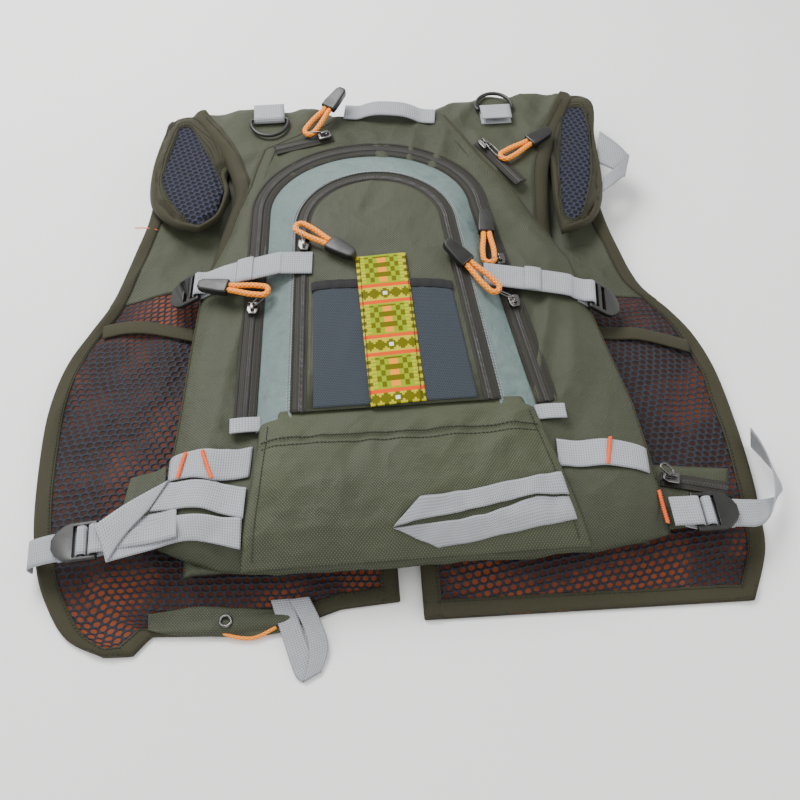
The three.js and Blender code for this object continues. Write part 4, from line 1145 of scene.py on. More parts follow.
def puffed(name, node, shrink, voxel, pressure, cap, finish, frames=20):
    """Padded copy of a node: remeshed, blown up by a cloth simulation, capped and applied."""
    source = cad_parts[node]
    bm = bmesh.new()
    bm.from_mesh(source.data)
    bmesh.ops.remove_doubles(bm, verts=bm.verts, dist=1e-5)
    bm.normal_update()
    for vert in bm.verts:
        vert.co -= vert.normal * shrink * MM
    made = piece(name, bm, finish, stands_for=[node])
    bpy.context.view_layer.objects.active = made
    made.select_set(True)
    remesh = made.modifiers.new("even squares", "REMESH")
    remesh.mode, remesh.voxel_size, remesh.use_smooth_shade = "VOXEL", voxel * MM, True
    bpy.ops.object.modifier_apply(modifier=remesh.name)
    start = [vert.co.copy() for vert in made.data.vertices]
    cloth = made.modifiers.new("padding", "CLOTH")
    setting = cloth.settings
    setting.quality = 6
    setting.mass = 0.2
    setting.tension_stiffness = setting.compression_stiffness = 12
    setting.bending_stiffness = 0.6
    setting.use_pressure = True
    setting.uniform_pressure_force = pressure
    setting.effector_weights.gravity = 0.0
    cloth.collision_settings.use_collision = False
    scene = bpy.context.scene
    for step in range(1, frames + 1):
        scene.frame_set(step)
    graph = bpy.context.evaluated_depsgraph_get()
    swollen = [v.co.copy() for v in made.evaluated_get(graph).data.vertices]
    made.modifiers.remove(cloth)
    scene.frame_set(1)
    for vert, first, last in zip(made.data.vertices, start, swollen):
        move = last - first
        reach = move.length
        if reach > 1e-9:
            move = move * (cap * MM * math.tanh(reach / (cap * MM)) / reach)
        vert.co = first + move
        vert.co.z = max(vert.co.z, 0.2 * MM)
    made.select_set(False)
    return made


class VEST_OT_pads(VestStep):
    """Shoulder pads of spacer mesh, with green tape round their edges"""

    bl_idname = "vest.pads"
    bl_label = "Shoulder pads"

    def build(self, finish):
        for side, shape, opening in (("left", PAD_LEFT, MESH_LEFT), ("right", PAD_RIGHT, MESH_RIGHT)):
            name = f"shoulder_mesh_{side}"
            ground(puffed(name, f"shoulder_pad_{side}", 1.6, 4.0, 4.0, 5.0,
                          finish["shoulder mesh"]))
            middle, table = radial(opening)
            loop = runner(shape + [shape[0]])

            def across(u, v, loop=loop, middle=middle, table=table):
                """Place on the tape: 0 at the pad's edge, 1 at the mesh."""
                edge = loop(v % 1.0 if v < 1 else 0.0)
                out = edge - middle
                reach = min(along(table, math.atan2(out.y, out.x)), out.length - 5.0)
                return edge.lerp(middle + out.normalized() * reach, u), out.normalized()

            def tape(u, v, across=across, name=name):
                p, out = across(u, v)
                inside = p - out * max(0.0, 3.0 - 12 * u)
                tuck = clamp(1 - u * 4)
                top = height(inside.x, inside.y, name) or FRONT_HIGH + 9
                p = p + out * 0.6 * tuck
                return at(p.x, p.y, top + 0.8 + 1.2 * math.sin(math.pi * u) - 6.0 * tuck * tuck)
            tape_mesh = draped(12, 150, tape, (0.019, loop.length * MM), ring=True)
            piece(f"shoulder_binding_{side}", tape_mesh, finish["green binding"],
                  shell=1.3)
            rows = []
            for share in (0.72, 0.9):
                row = [across(share, k / 160)[0] for k in range(161)]
                rows.append(laid(row, 1.7, name))
            stitched(f"shoulder_stitches_{side}", rows, finish["green thread"])


class VEST_OT_pack(VestStep):
    """Main compartment of the pack"""

    bl_idname = "vest.pack"
    bl_label = "Pack"

    def build(self, finish):
        def place(u, v):
            y0 = mix(-254, 282, v)
            x0, x1 = along(PACK_LEFT, y0), along(PACK_RIGHT, y0)
            x = mix(x0, x1, u)
            y = y0 + along(PACK_BOTTOM, u) * along(PACK_ROUND, y0)
            near = min(u, 1 - u) / 0.115
            side = (1 - (1 - clamp(near)) ** 2.3) ** (1 / 2.1) if near > 0 else 0.0
            base, crown = back_top(y0) + 0.4, pack_top(y0)
            if v < 0.004:
                crown = base + 0.5
            z = mix(base, crown, side)
            loose = ease((1 - abs(2 * u - 1)) / 0.35)
            inner = 1 - ease((abs(x) - 95) / 40) if -135 < y < 190 else 0.0
            wave = 2.9 * creases(x, y, 76, 130, 30, 2) + 1.1 * creases(x, y, 118, 60, 17, 19)
            wave += 0.8 * ripple(x, y, 18, 9) - 2.0 + folds(x, y, PACK_FOLDS)
            edge = ease(near) if near < 1 else 1.0
            held = edge * (1 - inner) * mix(0.35, 1.0, loose) * mix(0.3, 1.0, calm(x, y))
            z += min(FOLD_LIMIT, 1.35 * wave) * held
            return at(x, y, z)

        made = piece("pack_cloth", draped(130, 170, place, (0.43, 0.56)), finish["green ripstop"],
                     stands_for=["pack_body"], shell=1.6)
        ground(made)
        rows, piping = [], []
        for table, sign in ((PACK_LEFT, 1), (PACK_RIGHT, -1)):
            line = []
            for k in range(150):
                y = mix(-196, 276, k / 149)
                x = along(table, y) + sign * 5
                line.append(Vector((x, y, height(x, y, "pack_cloth") - 0.5)))
            piping.append(tube(line, 1.5, 8, step=4))
            inwards = Vector((sign * 6, 0, 0))
            rows.append([p + inwards for p in laid([q + inwards for q in line], 0.1, "pack_cloth")])
        piece("pack_piping", joined(*piping), finish["green binding"])
        stitched("pack_stitches", rows, finish["green thread"])


class VEST_OT_gusset(VestStep):
    """Sage gusset between the two arched zips, and the inner panel"""

    bl_idname = "vest.gusset"
    bl_label = "Gusset and inner panel"

    def build(self, finish):
        low, high = arch_line(OUTER_ARCH, -9.5, -130), arch_line(INNER_ARCH, 8, -130)

        def matched(points, v):
            """Point at the same share of foot, arch and foot on either edge."""
            last = len(points) - 1
            if v < 0.28 or v > 0.72:
                near, far = (points[0], points[1]) if v < 0.5 else (points[-1], points[-2])
                return Vector((*near, 0)).lerp(Vector((*far, 0)), min(v, 1 - v) / 0.28)
            k = 1 + (v - 0.28) / 0.44 * (last - 2)
            i = min(int(k), last - 2)
            return Vector((*points[i], 0)).lerp(Vector((*points[i + 1], 0)), k - i)

        def place(u, v):
            a, b = matched(low, v), matched(high, v)
            p = a.lerp(b, u)
            rise = 1 - (1 - u) ** 1.3
            loose = math.sin(math.pi * clamp(u * 1.02))
            wave = 2.6 * creases(p.x, p.y, 24, 40, 19, 6) + 1.6 * creases(p.x, p.y, 140, 34, 15, 9)
            wave += 1.2 * ripple(p.x, p.y, 13, 8) - 1.6
            z = PACK_TOP + 0.6 + 19.0 * rise + loose * (min(1.2, wave * 0.9) - 1.2)
            return at(p.x, p.y, min(z, PANEL_BASE - 0.2))

        made = piece("gusset_cloth", draped(22, 360, place, (0.04, 0.9)), finish["sage satin"],
                     stands_for=["front_compartment"], shell=1.2)
        ground(made)

        edge = arch_line(INNER_ARCH, -5)
        half = len(edge) // 2

        def panel(u, v):
            k = v * half
            i = min(int(k), half - 1)
            a = Vector(edge[i]).lerp(Vector(edge[i + 1]), k - i)
            b = Vector(edge[-1 - i]).lerp(Vector(edge[-2 - i]), k - i)
            p = a.lerp(b, u)
            loose = math.sin(math.pi * u) ** 0.5 if 0 < u < 1 else 0.0
            up = ease((p.y - 20) / 40)
            wave = 2.6 * creases(p.x, p.y, 52, 60, 26, 12) + folds(p.x, p.y, PANEL_FOLDS)
            wave += 1.6 * (1 - abs(2 * u - 1))
            return at(p.x, p.y, PANEL_BASE + 1.7 + loose * up * min(1.9, wave + 0.2))

        made = piece("inner_cloth", draped(60, 150, panel, (0.15, 0.30)), finish["green ripstop laid flat"],
                     stands_for=["inner_panel"], shell=1.2)
        ground(made)
        rows = []
        for offset in (9.6, 12.0):
            rows.append(laid(arch_line(INNER_ARCH, offset, -122), 0.2, "gusset_cloth"))
        stitched("gusset_stitches", rows, finish["grey thread"])


def zip_mesh(line, base, width, pitch):
    """Tape and coil of one closed zip along a line of (x, y) in millimetres."""
    spot = runner(line, False)
    half = width / 2
    count = int(spot.length / (pitch / 4))
    tape_count = max(20, int(spot.length / 4))
    coil = 2.9

    def frame_at(v):
        ahead = spot(v + 0.003) - spot(v - 0.003)
        return spot(v), Vector((-ahead.y, ahead.x, 0)).normalized()

    def tape(u, v):
        p, out = frame_at(v)
        w = (u - 0.5) * width
        near = abs(w) / half
        z = 0.95 + 0.28 * math.cos(near * 4 * math.pi) + (0.5 if near < 0.42 else 0.0)
        p = p + out * w
        return at(p.x, p.y, base + z + 0.5 * ripple(p.x, p.y, 30, 2))

    def teeth(u, v):
        p, out = frame_at(v)
        phase = (v * count) % 4
        tooth = (0.0, 0.75, 1.0, 0.75)[int(phase) % 4]
        w = (u - 0.5) * 2 * coil
        lean = 0.5 * (1 if u > 0.5 else -1)
        p = p + out * w + Vector((out.y, -out.x, 0)) * lean
        dome = math.sqrt(max(0.0, 1 - (2 * u - 1) ** 2))
        slit = 0.8 if abs(u - 0.5) < 0.04 else 0.0
        return at(p.x, p.y, base + 1.1 + (1.35 + 0.6 * tooth) * dome - slit)

    flat = (width * MM, spot.length * MM)
    return draped(16, tape_count, tape, flat), draped(10, count, teeth, flat)


SHOULDER_LEFT = ((-44, 246), (-106, 230))
SHOULDER_RIGHT = ((114, 233), (150, 167))
SIDE_ZIP = ((221, -188), (276, -203))


class VEST_OT_zips(VestStep):
    """Arched and straight zips with their teeth"""

    bl_idname = "vest.zips"
    bl_label = "Zips"

    def build(self, finish):
        pitch = sizes().tooth_pitch / MM
        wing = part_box("side_pocket_zip")[0].z / MM
        runs = (
            ("outer_zip", [Vector((x, y, 0)) for x, y in arch_line(OUTER_ARCH, 0)], PACK_TOP + 0.3, 20),
            ("inner_zip", [Vector((x, y, 0)) for x, y in arch_line(INNER_ARCH, 0)], PANEL_BASE, 18),
            ("shoulder_zip_left", [Vector((*p, 0)) for p in SHOULDER_LEFT], PACK_TOP + 0.3, 14),
            ("shoulder_zip_right", [Vector((*p, 0)) for p in SHOULDER_RIGHT], YOKE_TOP + 0.3, 14),
            ("side_pocket_zip", [Vector((*p, 0)) for p in SIDE_ZIP], wing, 14),
        )
        for node, line, base, width in runs:
            tape, teeth = zip_mesh(line, base, width, pitch)
            piece(f"{node}_tape", tape, finish["zip tape"], stands_for=[node], shell=0.8)
            piece(f"{node}_teeth", teeth, finish["zip teeth"])
        rows = []
        for arch, base in ((OUTER_ARCH, PACK_TOP + 0.3), (INNER_ARCH, PANEL_BASE)):
            for offset in (-8.2, 8.2):
                rows.append([Vector((x, y, base + 1.35)) for x, y in arch_line(arch, offset)])
        stitched("zip_stitches", rows, finish["green thread"], lift=0.15, pitch=2.8, long=2.0, wide=0.5)


class VEST_OT_lower(VestStep):
    """Lower panel with its seam and the right side wing"""

    bl_idname = "vest.lower"
    bl_label = "Lower panel"

    def build(self, finish):
        def place(u, v):
            y = mix(-251, -121.5, v)
            x = mix(along(LOWER_LEFT, y), along(LOWER_RIGHT, y), u)
            near = min(u, 1 - u) / 0.10
            side = (1 - (1 - clamp(near)) ** 2.2) ** 0.5 if near > 0 else 0.0
            low = pack_top(y) + 0.5
            top = low + along(LOWER_RISE, y) * PANEL_RISE
            wave = 2.6 * creases(x, y, 122, 70, 30, 15) + 1.4 * creases(x, y, 58, 50, 20, 17)
            wave += 0.8 * ripple(x, y, 16, 21) - 1.8
            wave += folds(x, y, LOWER_FOLDS)
            seam = -1.5 * math.exp(-((y + 153) / 2.4) ** 2)
            hold = ease((0.93 - v) / 0.12) * ease(v / 0.05)
            z = mix(low, top, mix(0.25, 1.0, side)) + min(2.4, wave) * hold * ease(near) + seam
            tuck = ease((v - 0.93) / 0.05)
            return at(x, y, max(low, mix(z, mix(low + 1.5, z - 1.2, ease((112 - abs(x)) / 8)), tuck)))

        # the lower panel takes the lighter copy of the green: painted light
        made = piece("lower_cloth", draped(110, 80, place, (0.28, 0.13)), finish["green ripstop worn"],
                     stands_for=["lower_panel"], shell=1.4)
        ground(made)
        rows = []
        for y in (-149.6, -156.4):
            rows.append(laid([Vector((x, y, 0)) for x in range(-122, 116, 3)], 0.15, "lower_cloth"))
        for table, sign in ((LOWER_LEFT, 1), (LOWER_RIGHT, -1)):
            line = [Vector((along(table, y) + sign * 9, y, 0)) for y in range(-246, -134, 3)]
            rows.append(laid(line, 0.15, "lower_cloth"))
        stitched("lower_stitches", rows, finish["green thread"])

        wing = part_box("side_wing_right")
        top = wing[1].z / MM

        def wing_place(u, v):
            low_edge = Vector((203, -236, 0)).lerp(Vector((268, -233, 0)), u)
            high_edge = Vector((202, -168, 0)).lerp(Vector((284, -180, 0)), u)
            p = low_edge.lerp(high_edge, v)
            rim = min(min(u + 0.3, 1 - u), min(v, 1 - v)) / 0.12
            return at(p.x, p.y, top - 3.6 * (1 - clamp(rim)) ** 2 - 0.25 + 0.2 * ripple(p.x, p.y, 14, 3))

        piece("side_wing_cloth", draped(30, 26, wing_place, (0.075, 0.065)), finish["green ripstop"],
              stands_for=["side_wing_right"], shell=3.0)


# Woven draft of the band from its foot up: kind of stripe and its rows of 2 mm.
BAND_DRAFT = (("spots", 6), ("line", 2), ("block", 18), ("line", 2), ("spots", 8), ("line", 2),
              ("block", 18), ("line", 2), ("spots", 8), ("line", 2), ("block", 18))


class VEST_OT_pocket(VestStep):
    """Fine mesh pocket with an elastic top, and the patterned band over it"""

    bl_idname = "vest.pocket"
    bl_label = "Mesh pocket and band"

    def build(self, finish):
        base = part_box("mesh_pocket")[0].z / MM

        def place(u, v):
            y = mix(-123, mix(16, 8, u), v)
            x = mix(along([(-123, -76), (10, -71)], y), along([(-123, 66), (10, 57)], y), u)
            loose = math.sin(math.pi * u) * math.sin(math.pi * clamp(v * 0.95))
            return at(x, y, base + 1.0 + 0.9 * loose * (0.4 + creases(x, y, 80, 60, 24, 5)))

        piece("pocket_net", draped(60, 60, place, (0.14, 0.14)), finish["pocket mesh"],
              stands_for=["mesh_pocket"], shell=0.8)

        def elastic(u, v):
            x = mix(-73, 58, v)
            y = mix(17, 9, v) + (u - 0.5) * 11 - 4 * (2 * v - 1) ** 6
            return at(x, y, base + 1.3 + 1.2 * math.sin(math.pi * u) + 0.3 * math.sin(v * 70))
        piece("pocket_elastic", draped(8, 70, elastic, (0.011, 0.132)), finish["black elastic"],
              shell=1.0)

        dyes = {
            "olive": (0.110, 0.105, 0.000), "orange": (0.900, 0.280, 0.000), "leaf": (0.240, 0.330, 0.000),
            "pale": (0.460, 0.410, 0.012), "line": (0.700, 0.070, 0.000), "white": (0.75, 0.75, 0.68),
        }

        def dye(column, row):
            """Dye of one woven square: 24 columns, rows of 2 mm from the foot."""
            out = abs(column - 11.5)
            for kind, rows in BAND_DRAFT:
                if row < rows:
                    break
                row -= rows
            if kind == "line":
                return "line"
            if kind == "spots":
                away = abs(row - (rows - 1) / 2)
                if out < 1 and away < 1:
                    return "white"
                beside = min(out, abs(out - 4.9), abs(out - 9.6))
                return "olive" if beside + away * 0.85 < 3.0 else "pale"
            if out > 10:
                return "olive" if (row // 2) % 2 else "pale"
            if out > 8.4:
                return "pale" if row % 2 else "leaf"
            if row in (0, rows - 1):
                return "leaf"
            odd = ((row - 1) // 3) % 2
            if out < 2:
                return "orange" if not odd else "olive"
            if out < 4.2:
                return "olive" if odd else "leaf"
            if out < 6.4:
                return "leaf" if odd else "olive"
            return "olive" if odd else "leaf"

        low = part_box("patterned_band")[0]
        width, long = 48.0, 172.0
        columns, rows = 24, 86
        corner = Vector((-4.5, -39, 0))

        def band(u, v):
            x = corner.x + (u - 0.5) * width + 1.2 * (2 * v - 1) * -1.5
            y = corner.y + (v - 0.5) * long + 1.2 * (2 * u - 1)
            z = low.z / MM + 1.1 + 0.35 * ripple(x, y, 22, 14) + 0.5 * ease(v)
            return at(x, y, z - 0.5 * (2 * abs(u - 0.5)) ** 8)

        bm = draped(columns, rows, band, (width * MM, long * MM))
        layer = bm.loops.layers.float_color.new("dye")
        uv = bm.loops.layers.uv.active
        for face in bm.faces:
            u = sum(loop[uv].uv.x for loop in face.loops) / 4 / (width * MM)
            v = sum(loop[uv].uv.y for loop in face.loops) / 4 / (long * MM)
            tint = dyes[dye(int(u * columns), int(v * rows))]
            for loop in face.loops:
                loop[layer] = (*tint, 1.0)
        piece("patterned_band_weave", bm, finish["patterned band"],
              stands_for=["patterned_band"], shell=1.2)
        edge_rows = []
        for side in (-1, 1):
            edge_rows.append([Vector((corner.x + side * 22, corner.y - 84 + k, low.z / MM + 1.5))
                              for k in range(0, 169, 4)])
        stitched("band_stitches", edge_rows, finish["green thread"], lift=0.1)


THREAD_LINE = [(32, -5.6), (12, -5.6), (8, -5.1), (6.9, -3), (6.9, 2), (8.2, 3.7), (12.6, 3.7), (14, 2),
               (14.2, -1.5), (16.2, -3.9), (36, -4.1)]
SIDE_LEFT_END = [(52, -1, -9, 0, 13, 0), (60, -2, -14, 0, 13, 0), (62, -3, -20, 0, 13, 0),
                 (61, -4, -27, 0, 13, 0)]
SIDE_RIGHT_END = [(52, 1, -8, 0, 13, 0), (66, 6, -14, 2.5, 12, -2.5), (80, 16, -19, 6, 9, -6),
                  (90, 32, -22, 7.5, 4, -9), (91, 52, -22, 6, 0, -10), (86, 72, -22, 4, -2, -10),
                  (80, 86, -22, 3, -2, -10)]
LOCKS = {
    "upper_lock_left": ((-183, 51.5, BACK_TOP + 19.5), 176, -34),
    "upper_lock_right": ((194, 11, BACK_TOP + 19.5), -8, -34),
    "lower_lock_left": ((-263, -212, BACK_TOP + 8), 182, -4),
    "lower_lock_right": ((241, -227, BACK_TOP + 8), 0, -3),
}
ON_TOP = PANEL_BASE + 4.1
LOCK_STRAPS = {
    "upper_strap_left": ("upper_lock_left", (-71, 44), [(1, ON_TOP - 0.2), (0.75, ON_TOP), (0.7, ON_TOP - 0.4),
                                                        (0.3, PACK_TOP + 8.6), (0.14, PACK_TOP + 0.4)]),
    "upper_strap_right": ("upper_lock_right", (91, 26), [(1, PACK_TOP + 13.5), (0.93, PACK_TOP + 13),
                                                         (0.28, PACK_TOP + 4.6), (0.16, PACK_TOP - 0.6)]),
    "lower_strap_left": ("lower_lock_left", (-146, -208), [(1, PACK_TOP + 1.7), (0.8, PACK_TOP + 1.2),
                                                           (0.6, PACK_TOP - 3), (0.44, PACK_TOP - 9),
                                                           (0.2, BACK_TOP + 14)]),
    "lower_strap_right": ("lower_lock_right", (219, -226), [(1, BACK_TOP + 13), (0.7, BACK_TOP + 13)]),
}


def turned(spot, heading, tilt=0.0):
    """Placing of a piece: tilted about its own Y, turned about Z, then moved."""
    return (Matrix.Translation(Vector(spot)) @ Matrix.Rotation(math.radians(heading), 4, "Z")
            @ Matrix.Rotation(math.radians(-tilt), 4, "Y"))


def round_turn(radius, steps=8):
    return [(radius * math.cos(math.pi * (0.5 - k / steps)), radius * math.sin(math.pi * (0.5 - k / steps)))
            for k in range(steps + 1)]


def between(edge_a, edge_b, lift, names, across=8, step=3.0):
    """Flat webbing between two edges given as (x, y), laid on what is under it."""
    a, b = runner(edge_a, False), runner(edge_b, False)
    long = max(a.length, b.length)

    def place(u, v):
        p = a(v).lerp(b(v), u)
        under = max(height(p.x, p.y, *names), 0.0)
        return at(p.x, p.y, under + (lift(u, v) if callable(lift) else lift))

    width = (a(0.5) - b(0.5)).length
    return draped(across, max(4, int(long / step)), place, (width * MM, long * MM))


class VEST_OT_straps(VestStep):
    """Webbing straps, folded ends, tabs and handle"""

    bl_idname = "vest.straps"
    bl_label = "Webbing"

    def build(self, finish):
        web, wide = finish["grey webbing"], sizes().webbing_width / MM
        thick = sizes().webbing_thickness / MM
        tacks = []

        def add(name, bm, body="root", stands_for=(), shell=thick, offset=0.0):
            return piece(name, bm, web, body, stands_for=stands_for, shell=shell,
                         offset=offset)

        for name, (lock, root, rise) in LOCK_STRAPS.items():
            (x, y, z), heading, _ = LOCKS[lock]
            reach = math.hypot(root[0] - x, root[1] - y)
            seen = 0.7 if name == "lower_strap_left" else math.inf
            line = [(-reach * share, top - z) for share, top in rise if share < seen]
            line += [(-8, 4.5)] + round_turn(4.5) + [(-7, -1.4), (-13, 2.6)]
            seat = turned((x, y, z), heading)
            out = seat.to_3x3() @ Vector((0, 1, 0))
            stations = [(seat @ Vector((px, 0, pz)), out) for px, pz in line]
            add(name.replace("strap", "webbing"), ribbon(stations, wide, 6, 1.5), stands_for=[name], shell=1.2)

        for side, lock, ending in (("left", "lower_lock_left", SIDE_LEFT_END),
                                   ("right", "lower_lock_right", SIDE_RIGHT_END)):
            seat = turned(*LOCKS[lock])
            turn = seat.to_3x3()
            stations = [(seat @ Vector((x, 0, z)), turn @ Vector((0, 1, 0))) for x, z in THREAD_LINE]
            stations += [(seat @ Vector(row[:3]), turn @ Vector(row[3:])) for row in ending]
            add(f"side_webbing_{side}", ribbon(stations, 26, 6, 1.5), lock, [f"side_strap_{side}"], 1.2)

        # folded loop on the lower panel
        ground_names = ("lower_cloth", "pack_cloth")
        upper = between([(-16, -231), (20, -225), (60, -221), (104, -214), (131, -215)],
                        [(8, -210), (60, -206), (127, -196)], 2.6, ground_names)
        lower = between([(20, -246), (80, -240), (136, -233)],
                        [(-16, -231), (16, -229), (60, -226), (104, -215), (131, -216)], 0.9, ground_names)
        add("folded_webbing_right", joined(upper, lower), stands_for=["folded_strap_right"], shell=1.3)

        # folded loop by the lower left lock
        flat_strips = []
        for layer, a, b in (
            (2.6, [(-251, -235, 44), (-217, -229, 47), (-182, -225, 52), (-141, -237, 53)],
             [(-257, -214, 46), (-240, -212, 47), (-218, -205, 50), (-197, -203, 54), (-139, -211, 58)]),
            (4.2, [(-249, -235, 46), (-236, -214, 49), (-216, -193, 53.5)],
             [(-262, -203, 49), (-236, -186, 52), (-201, -169, 56.5)]),
            (2.6, [(-216, -195, 52), (-176, -200, 58), (-138, -212, 58)],
             [(-203, -170, 54), (-170, -175, 60), (-135, -184, 60)]),
        ):
            low_edge, high_edge = runner(a), runner(b)

            def strip(u, v, low_edge=low_edge, high_edge=high_edge, layer=layer):
                p = low_edge(v).lerp(high_edge(v), u)
                return at(p.x, p.y, max(p.z, height(p.x, p.y, "pack_cloth", "lower_cloth") + layer))
            flat_strips.append(draped(10, 40, strip, (wide * MM, low_edge.length * MM)))
        add("folded_webbing_left", joined(*flat_strips), shell=1.2)

        # strips sewn across the pack's lower sides
        for name, a, b, stands in (
            ("sewn_webbing_left", [(-203, -166), (-182, -170), (-163, -176), (-133, -173)],
             [(-203, -141), (-182, -143), (-169, -145), (-130, -143)], "daisy_webbing_left"),
            ("sewn_webbing_right", [(129, -183), (170, -188), (206, -193)],
             [(131, -157), (172, -161), (209, -167)], "daisy_webbing_right"),
        ):
            puff = lambda u, v: 1.6 + 1.4 * math.sin(math.pi * clamp((v - 0.15) / 0.7)) ** 2
            add(name, between(a, b, puff, ("pack_cloth",)), stands_for=[stands], shell=1.3)
        for x, y, heading, wide_tack in ((-190.5, -156, 76, 25), (-168, -161, 107, 29), (173, -174, 75, 27),
                                         (212, -223, 91, 31), (-217, -197, 110, 13)):
            z = height(x, y, "pack_cloth") + 4.4
            tacks.append(bar_tack((x, y, z), heading, wide_tack))

        # tabs of the D-rings
        for side in ("left", "right"):
            spot, heading = RINGS[side]
            seat = turned((*spot, RING_HEIGHT), heading + 90)
            line = [(-20, 3.7)] + [(x, z) for x, z in round_turn(3.7)] + [(-20, -3.7)]
            out = seat.to_3x3() @ Vector((0, 1, 0))
            stations = [(seat @ Vector((x, 0, z)), out) for x, z in line]
            add(f"ring_tab_{side}", ribbon(stations, 33, 6, 1.5), stands_for=[f"d_ring_tab_{side}"], shell=1.2)

        # grab handle, with its ends sewn down
        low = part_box("grab_handle")[0].z / MM
        half = [(50, 0), (36, 0), (30, 1.8), (24, 4.6), (12, 7.6)]
        line = [(-x, z) for x, z in half] + [(x, z) for x, z in reversed(half)]
        seat = turned((20, 279, low + 0.7), -9)
        out = seat.to_3x3() @ Vector((0, 1, 0))
        stations = [(seat @ Vector((x, 0, z)), out) for x, z in line]
        add("handle_webbing", ribbon(stations, 22, 6, 2, crown=0.8), stands_for=["grab_handle"], shell=1.3)

        # loop at the hem
        def hem_strip(a, b):
            low_edge, high_edge = runner(a), runner(b)

            def strip(u, v):
                return at(*low_edge(v).lerp(high_edge(v), u))
            return draped(8, 30, strip, (0.02, low_edge.length * MM))
        left_leg = hem_strip([(-121, -263, 8.4), (-112, -296, 5.2), (-103, -326, 2.2), (-96, -333, 1.4)],
                             [(-103, -263, 8.6), (-94, -296, 5.4), (-88, -312, 3.0), (-84, -324, 1.4)])
        right_leg = hem_strip([(-106, -264, 9.6), (-94, -290, 7.0), (-91, -312, 4.0), (-96, -333, 2.6)],
                              [(-89, -263, 9.6), (-78, -290, 7.0), (-75, -308, 4.2), (-82, -326, 2.6)])
        add("hem_webbing", joined(left_leg, right_leg), stands_for=["hem_loop"], shell=1.2)

        # loop behind the right shoulder, and keepers on the upper straps
        halves = []
        for low_line, high_line in (
            ([(240, 208, 38), (262, 192, 35), (268, 187, 34)],
             [(252, 254, 41), (270, 232, 37), (279, 218, 35)]),
            ([(268, 187, 36), (252, 172, 37), (236, 160, 38)],
             [(279, 218, 38), (262, 198, 39), (242, 181, 40)]),
        ):
            low_edge, high_edge = runner(low_line, False), runner(high_line, False)

            def half_loop(u, v, low_edge=low_edge, high_edge=high_edge):
                return at(*(low_edge(v).lerp(high_edge(v), u) + Vector((0, 0, 1.6 * math.sin(v * 3)))))
            halves.append(draped(8, 20, half_loop, (wide * MM, low_edge.length * MM)))
        add("shoulder_webbing", joined(*halves), shell=1.3)
        keepers = []
        for name, share in (("upper_strap_left", 0.42), ("upper_strap_right", 0.55)):
            lock, root, rise = LOCK_STRAPS[name]
            (x, y, z), heading, _ = LOCKS[lock]
            reach = math.hypot(root[0] - x, root[1] - y)
            seat = turned((x, y, z), heading)
            table = sorted((-reach * s, top) for s, top in rise)
            px = -reach * share
            stations = []
            for k in range(7):
                run = px + (k - 3) * 2.6
                top = along(table, run) + 1.6 + 0.9 * math.sin(math.pi * k / 6)
                p = seat @ Vector((run, 0, 0))
                stations.append((Vector((p.x, p.y, top)), seat.to_3x3() @ Vector((0, 1, 0))))
            keepers.append(ribbon(stations, wide + 1.5, 6, 1.5))
        add("strap_keepers", joined(*keepers), shell=1.2)
        bm = joined(*[tube(row, 0.9, 6, False, 0.9) for row in tacks])
        piece("bar_tacks", bm, finish["orange thread"])

        # patches over the zip ends
        patches = []
        for x, y in ((-136, -123), (130, -130)):
            patches.append(draped(12, 8, lambda u, v, x=x, y=y:
                                  at(x + (u - 0.5) * 27, y + (v - 0.5) * 15,
                                     PACK_TOP + 3.4 + 0.9 * math.sin(math.pi * u)), (0.027, 0.015)))
        add("zip_end_patches", joined(*patches), shell=1.3)


def refined(node, finish, body, edge, segments):
    """Copy of a node with its flat faces made whole and its edges rounded."""
    bm = bmesh.new()
    bm.from_mesh(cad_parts[node].data)
    bmesh.ops.remove_doubles(bm, verts=bm.verts, dist=1e-5)
    bmesh.ops.dissolve_limit(bm, angle_limit=math.radians(1.5), verts=bm.verts, edges=bm.edges)
    sharp = [e for e in bm.edges if len(e.link_faces) == 2 and e.calc_face_angle(0) > math.radians(28)]
    bmesh.ops.bevel(bm, geom=sharp, offset=edge * MM, offset_type="OFFSET", segments=segments,
                    profile=0.5, affect="EDGES", clamp_overlap=True, material=-1)
    bmesh.ops.triangulate(bm, faces=[f for f in bm.faces if len(f.verts) > 4])
    made = piece(f"{node}_finished", bm, finish, body, stands_for=[node])
    made.data.set_sharp_from_angle(angle=math.radians(40))
    return made


PULLS = {
    "outer_left": ((-119, 19, PACK_TOP + 16.5), 164, -6),
    "inner_left": ((-80, 84, PANEL_BASE + 10.5), -40, 0),
    "outer_right_upper": ((99, 48, PACK_TOP + 10.5), 87, 0),
    "outer_right_lower": ((97, 4, PACK_TOP + 18.5), 131, 14),
    "shoulder_left": ((-68, 250, PACK_TOP + 8.0), 52, 11),
    "shoulder_right": ((138, 204, YOKE_TOP + 6.2), 33, 0),
}
RINGS = {"left": ((-112, 284), 180), "right": ((137, 282), 0)}
RING_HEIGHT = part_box("d_ring_left")[0].z / MM + 2.0


